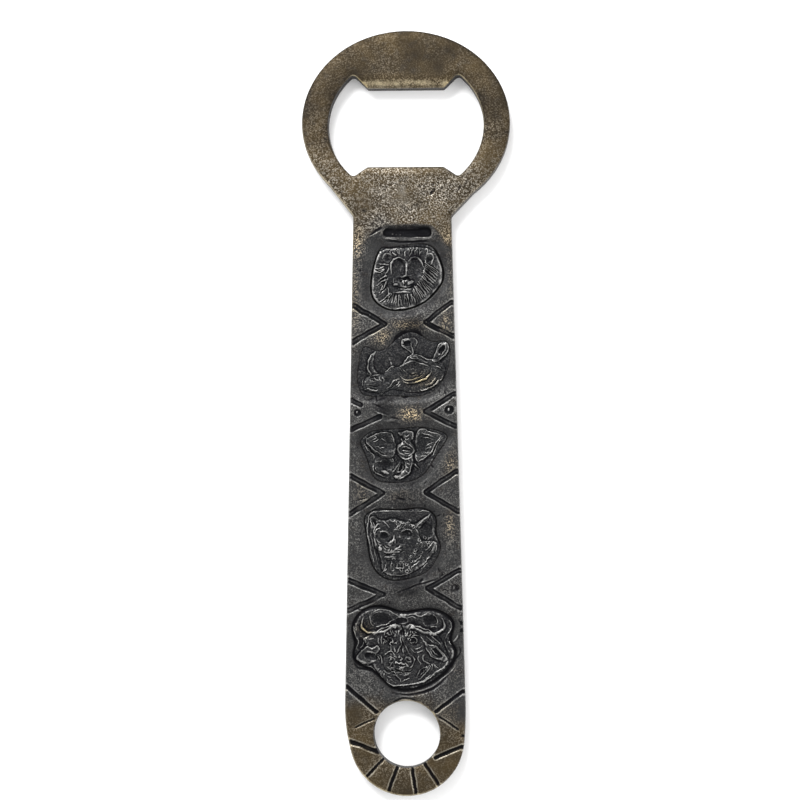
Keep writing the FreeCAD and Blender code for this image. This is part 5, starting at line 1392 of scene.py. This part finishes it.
class Nodes:
    """Short words for building a node material."""

    def __init__(self, name):
        self.material = bpy.data.materials.new(name)
        self.material.use_nodes = True
        self.tree = self.material.node_tree
        self.tree.nodes.clear()

    def add(self, kind, **settings):
        node = self.tree.nodes.new(kind)
        for name, value in settings.items():
            setattr(node, name, value)
        return node

    def link(self, source, target):
        self.tree.links.new(source, target)

    def value_of(self, name):
        return self.add("ShaderNodeAttribute", attribute_name=name).outputs["Fac"]

    def place(self):
        """The place on the piece in millimetres."""
        coords = self.add("ShaderNodeTexCoord")
        scaled = self.add("ShaderNodeVectorMath", operation="SCALE")
        self.link(coords.outputs["Object"], scaled.inputs[0])
        scaled.inputs["Scale"].default_value = 1000.0
        return scaled.outputs[0]

    def noise(self, place, lump, detail=3.0, roughness=0.55):
        node = self.add("ShaderNodeTexNoise")
        node.inputs["Scale"].default_value = 1.0 / lump
        node.inputs["Detail"].default_value = detail
        node.inputs["Roughness"].default_value = roughness
        self.link(place, node.inputs["Vector"])
        return node.outputs["Fac"]

    def calculate(self, operation, first, second=0.0, clamp=False):
        node = self.add("ShaderNodeMath", operation=operation, use_clamp=clamp)
        for socket, value in zip(node.inputs, (first, second)):
            if isinstance(value, (int, float)):
                socket.default_value = value
            else:
                self.link(value, socket)
        return node.outputs[0]

    def times(self, first, second, clamp=False):
        return self.calculate("MULTIPLY", first, second, clamp)

    def ramp(self, value, low, high, from_value=0.0, to_value=1.0):
        """Maps low to high onto from_value to to_value, held at the ends."""
        node = self.add("ShaderNodeMapRange", interpolation_type="SMOOTHSTEP")
        self.link(value, node.inputs["Value"])
        names = ("From Min", "From Max", "To Min", "To Max")
        for name, number in zip(names, (low, high, from_value, to_value)):
            node.inputs[name].default_value = number
        return node.outputs["Result"]

    def mix(self, share, first, second):
        """Blends two colours. Each is a colour or a socket."""
        # Inputs 6 and 7 and output 2 are the node's colour sockets.
        node = self.add("ShaderNodeMix", data_type="RGBA")
        self.link(share, node.inputs["Factor"])
        for socket, value in ((node.inputs[6], first), (node.inputs[7], second)):
            if isinstance(value, tuple):
                socket.default_value = (*value, 1.0)
            else:
                self.link(value, socket)
        return node.outputs[2]

    def finish(self, shader):
        """Sends a shader to the surface and gives the finished material."""
        output = self.add("ShaderNodeOutputMaterial")
        self.link(shader.outputs[0], output.inputs["Surface"])
        return self.material


def antique_metal(name, gunmetal_dark, gunmetal_light):
    """Antiqued cast metal: a dark patina over bronze, worn through on specks and edges, with painted shade
    in the narrow creases and on the walls and a painted highlight on some edges.
    """
    nodes = Nodes(name)
    place = nodes.place()
    hollow, crest, gold, rough_skin, dark = (nodes.value_of(n) for n in POINT_VALUES)
    broad = nodes.noise(place, 9.0, 4.0)
    blotch = nodes.noise(place, 2.2, 4.0, 0.6)
    grain = nodes.noise(place, 0.34, 3.0, 0.65)
    fine = nodes.noise(place, 0.17, 2.0, 0.6)

    bronze = nodes.ramp(broad, 0.35, 0.68)
    bronze = nodes.mix(bronze, (0.036, 0.026, 0.0135), (0.058, 0.0405, 0.0185))
    bronze = nodes.mix(nodes.ramp(blotch, 0.5, 0.72, 0.0, 0.5), bronze, (0.034, 0.029, 0.023))
    gunmetal = nodes.mix(nodes.ramp(blotch, 0.3, 0.7), gunmetal_dark, gunmetal_light)
    uneven = nodes.times(nodes.ramp(blotch, 0.2, 0.5, 0.7, 1.0), dark, True)
    colour = nodes.mix(uneven, bronze, gunmetal)

    # Grain: pits hold dark patina, tips are rubbed lighter, and golden where handled most.
    pits = nodes.times(nodes.ramp(grain, 0.49, 0.4), rough_skin)
    colour = nodes.mix(nodes.times(pits, 0.7), colour, (0.009, 0.008, 0.007))
    tips = nodes.times(nodes.ramp(grain, 0.5, 0.6), nodes.ramp(fine, 0.4, 0.54))
    tips = nodes.times(tips, rough_skin, True)
    tip_colour = nodes.mix(gold, (0.27, 0.262, 0.245), (0.75, 0.59, 0.37))
    colour = nodes.mix(tips, colour, tip_colour)
    # Hollows are near black: dark patina, with painted shade in the narrow creases and on the walls. Crests
    # show metal, and so does the painted highlight on some edges.
    colour = nodes.mix(nodes.ramp(hollow, 0.05, 0.8, 0.0, 0.96), colour, (0.005, 0.005, 0.006))
    patchy = nodes.ramp(blotch, 0.3, 0.62, 0.4, 1.0)
    rub = nodes.times(nodes.ramp(crest, 0.18, 0.85), patchy)
    rub = nodes.times(rub, 0.85, True)
    bare = nodes.mix(gold, (0.33, 0.325, 0.315), (0.56, 0.46, 0.26))
    colour = nodes.mix(rub, colour, bare)

    shader = nodes.add("ShaderNodeBsdfPrincipled")
    nodes.link(colour, shader.inputs["Base Color"])
    shader.inputs["Metallic"].default_value = 0.82
    dull = nodes.times(hollow, 0.18)
    rough = nodes.calculate("ADD", nodes.ramp(grain, 0.3, 0.7, 0.5, 0.36), dull)
    rough = nodes.calculate("SUBTRACT", rough, nodes.times(rub, 0.12))
    nodes.link(rough, shader.inputs["Roughness"])
    gloss = nodes.calculate("SUBTRACT", 0.4, nodes.times(hollow, 0.38), True)
    nodes.link(gloss, shader.inputs["Specular IOR Level"])

    coarse_part = nodes.times(grain, 0.6)
    fine_part = nodes.times(fine, 0.4)
    height = nodes.calculate("ADD", coarse_part, fine_part)
    bump = nodes.add("ShaderNodeBump")
    bump.inputs["Strength"].default_value = 0.55
    bump.inputs["Distance"].default_value = 0.00012
    nodes.link(height, bump.inputs["Height"])
    nodes.link(bump.outputs["Normal"], shader.inputs["Normal"])
    return nodes.finish(shader)


def bronze_material():
    return antique_metal("antiqued_bronze", (0.019, 0.0195, 0.0213), (0.035, 0.0348, 0.0342))


def relief_material():
    """The blackened relief tiles. They all share one material."""
    made = bpy.data.materials.get("blackened_relief")
    return made or antique_metal("blackened_relief", (0.007, 0.0075, 0.009), (0.015, 0.0155, 0.0168))


def finish_piece(piece, node, material):
    piece.data.materials.append(material)
    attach(piece, "root")
    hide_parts(node)


# ---------------------------------------------------------------- floor, light and camera

def make_floor():
    mesh = bpy.data.meshes.new("floor")
    size = 3.0
    corners = [(-size, -size, 0), (size, -size, 0), (size, size, 0), (-size, size, 0)]
    mesh.from_pydata(corners, [], [(0, 1, 2, 3)])
    floor = bpy.data.objects.new("floor", mesh)
    floor.location.z = -0.00005
    bpy.context.collection.objects.link(floor)
    nodes = Nodes("pale_floor")
    shader = nodes.add("ShaderNodeBsdfPrincipled")
    shader.inputs["Base Color"].default_value = (0.97, 0.97, 0.97, 1)
    shader.inputs["Roughness"].default_value = 0.9
    shader.inputs["Specular IOR Level"].default_value = 0.1
    mesh.materials.append(nodes.finish(shader))


def add_area_light(name, place, target, size, power):
    light = bpy.data.lights.new(name, "AREA")
    light.energy = power
    light.size = size
    lamp = bpy.data.objects.new(name, light)
    bpy.context.collection.objects.link(lamp)
    lamp.location = place
    lamp.rotation_euler = (Vector(target) - Vector(place)).to_track_quat("-Z", "Y").to_euler()


def make_light():
    world = bpy.data.worlds.new("studio")
    world.use_nodes = True
    background = world.node_tree.nodes["Background"]
    background.inputs["Color"].default_value = (1.0, 1.0, 1.0, 1)
    background.inputs["Strength"].default_value = 1.0
    bpy.context.scene.world = world
    add_area_light("key", (-0.2, 0.47, 0.57), (0, 0, 0), 0.32, 6.3)
    add_area_light("fill", (0.5, -0.1, 0.5), (0, 0, 0), 0.5, 1.5)


def make_camera():
    """Straight above the opener and a little to its lower right, as in the photograph."""
    place = Vector((0.030, -0.020, 0.60))
    target = Vector((-0.00154, 0.00282, 0.0))
    roll = math.radians(0.1)
    frame_width = 0.1895
    data = bpy.data.cameras.new("camera")
    camera = bpy.data.objects.new("camera", data)
    bpy.context.collection.objects.link(camera)
    camera.location = place
    sight = (target - place).normalized()
    right = Vector((math.cos(roll), -math.sin(roll), 0))
    right = (right - sight * right.dot(sight)).normalized()
    up = right.cross(sight)
    camera.rotation_euler = Matrix((right, up, -sight)).transposed().to_euler()
    data.sensor_width = 36.0
    data.lens = 36.0 * (target - place).length / frame_width
    data.clip_start = 0.01
    bpy.context.scene.camera = camera


make_camera()
make_light()
make_floor()
make_casting()
make_lion()
make_rhino()
make_elephant()
make_leopard()
make_buffalo()

bpy.context.scene.view_settings.view_transform = "Standard"
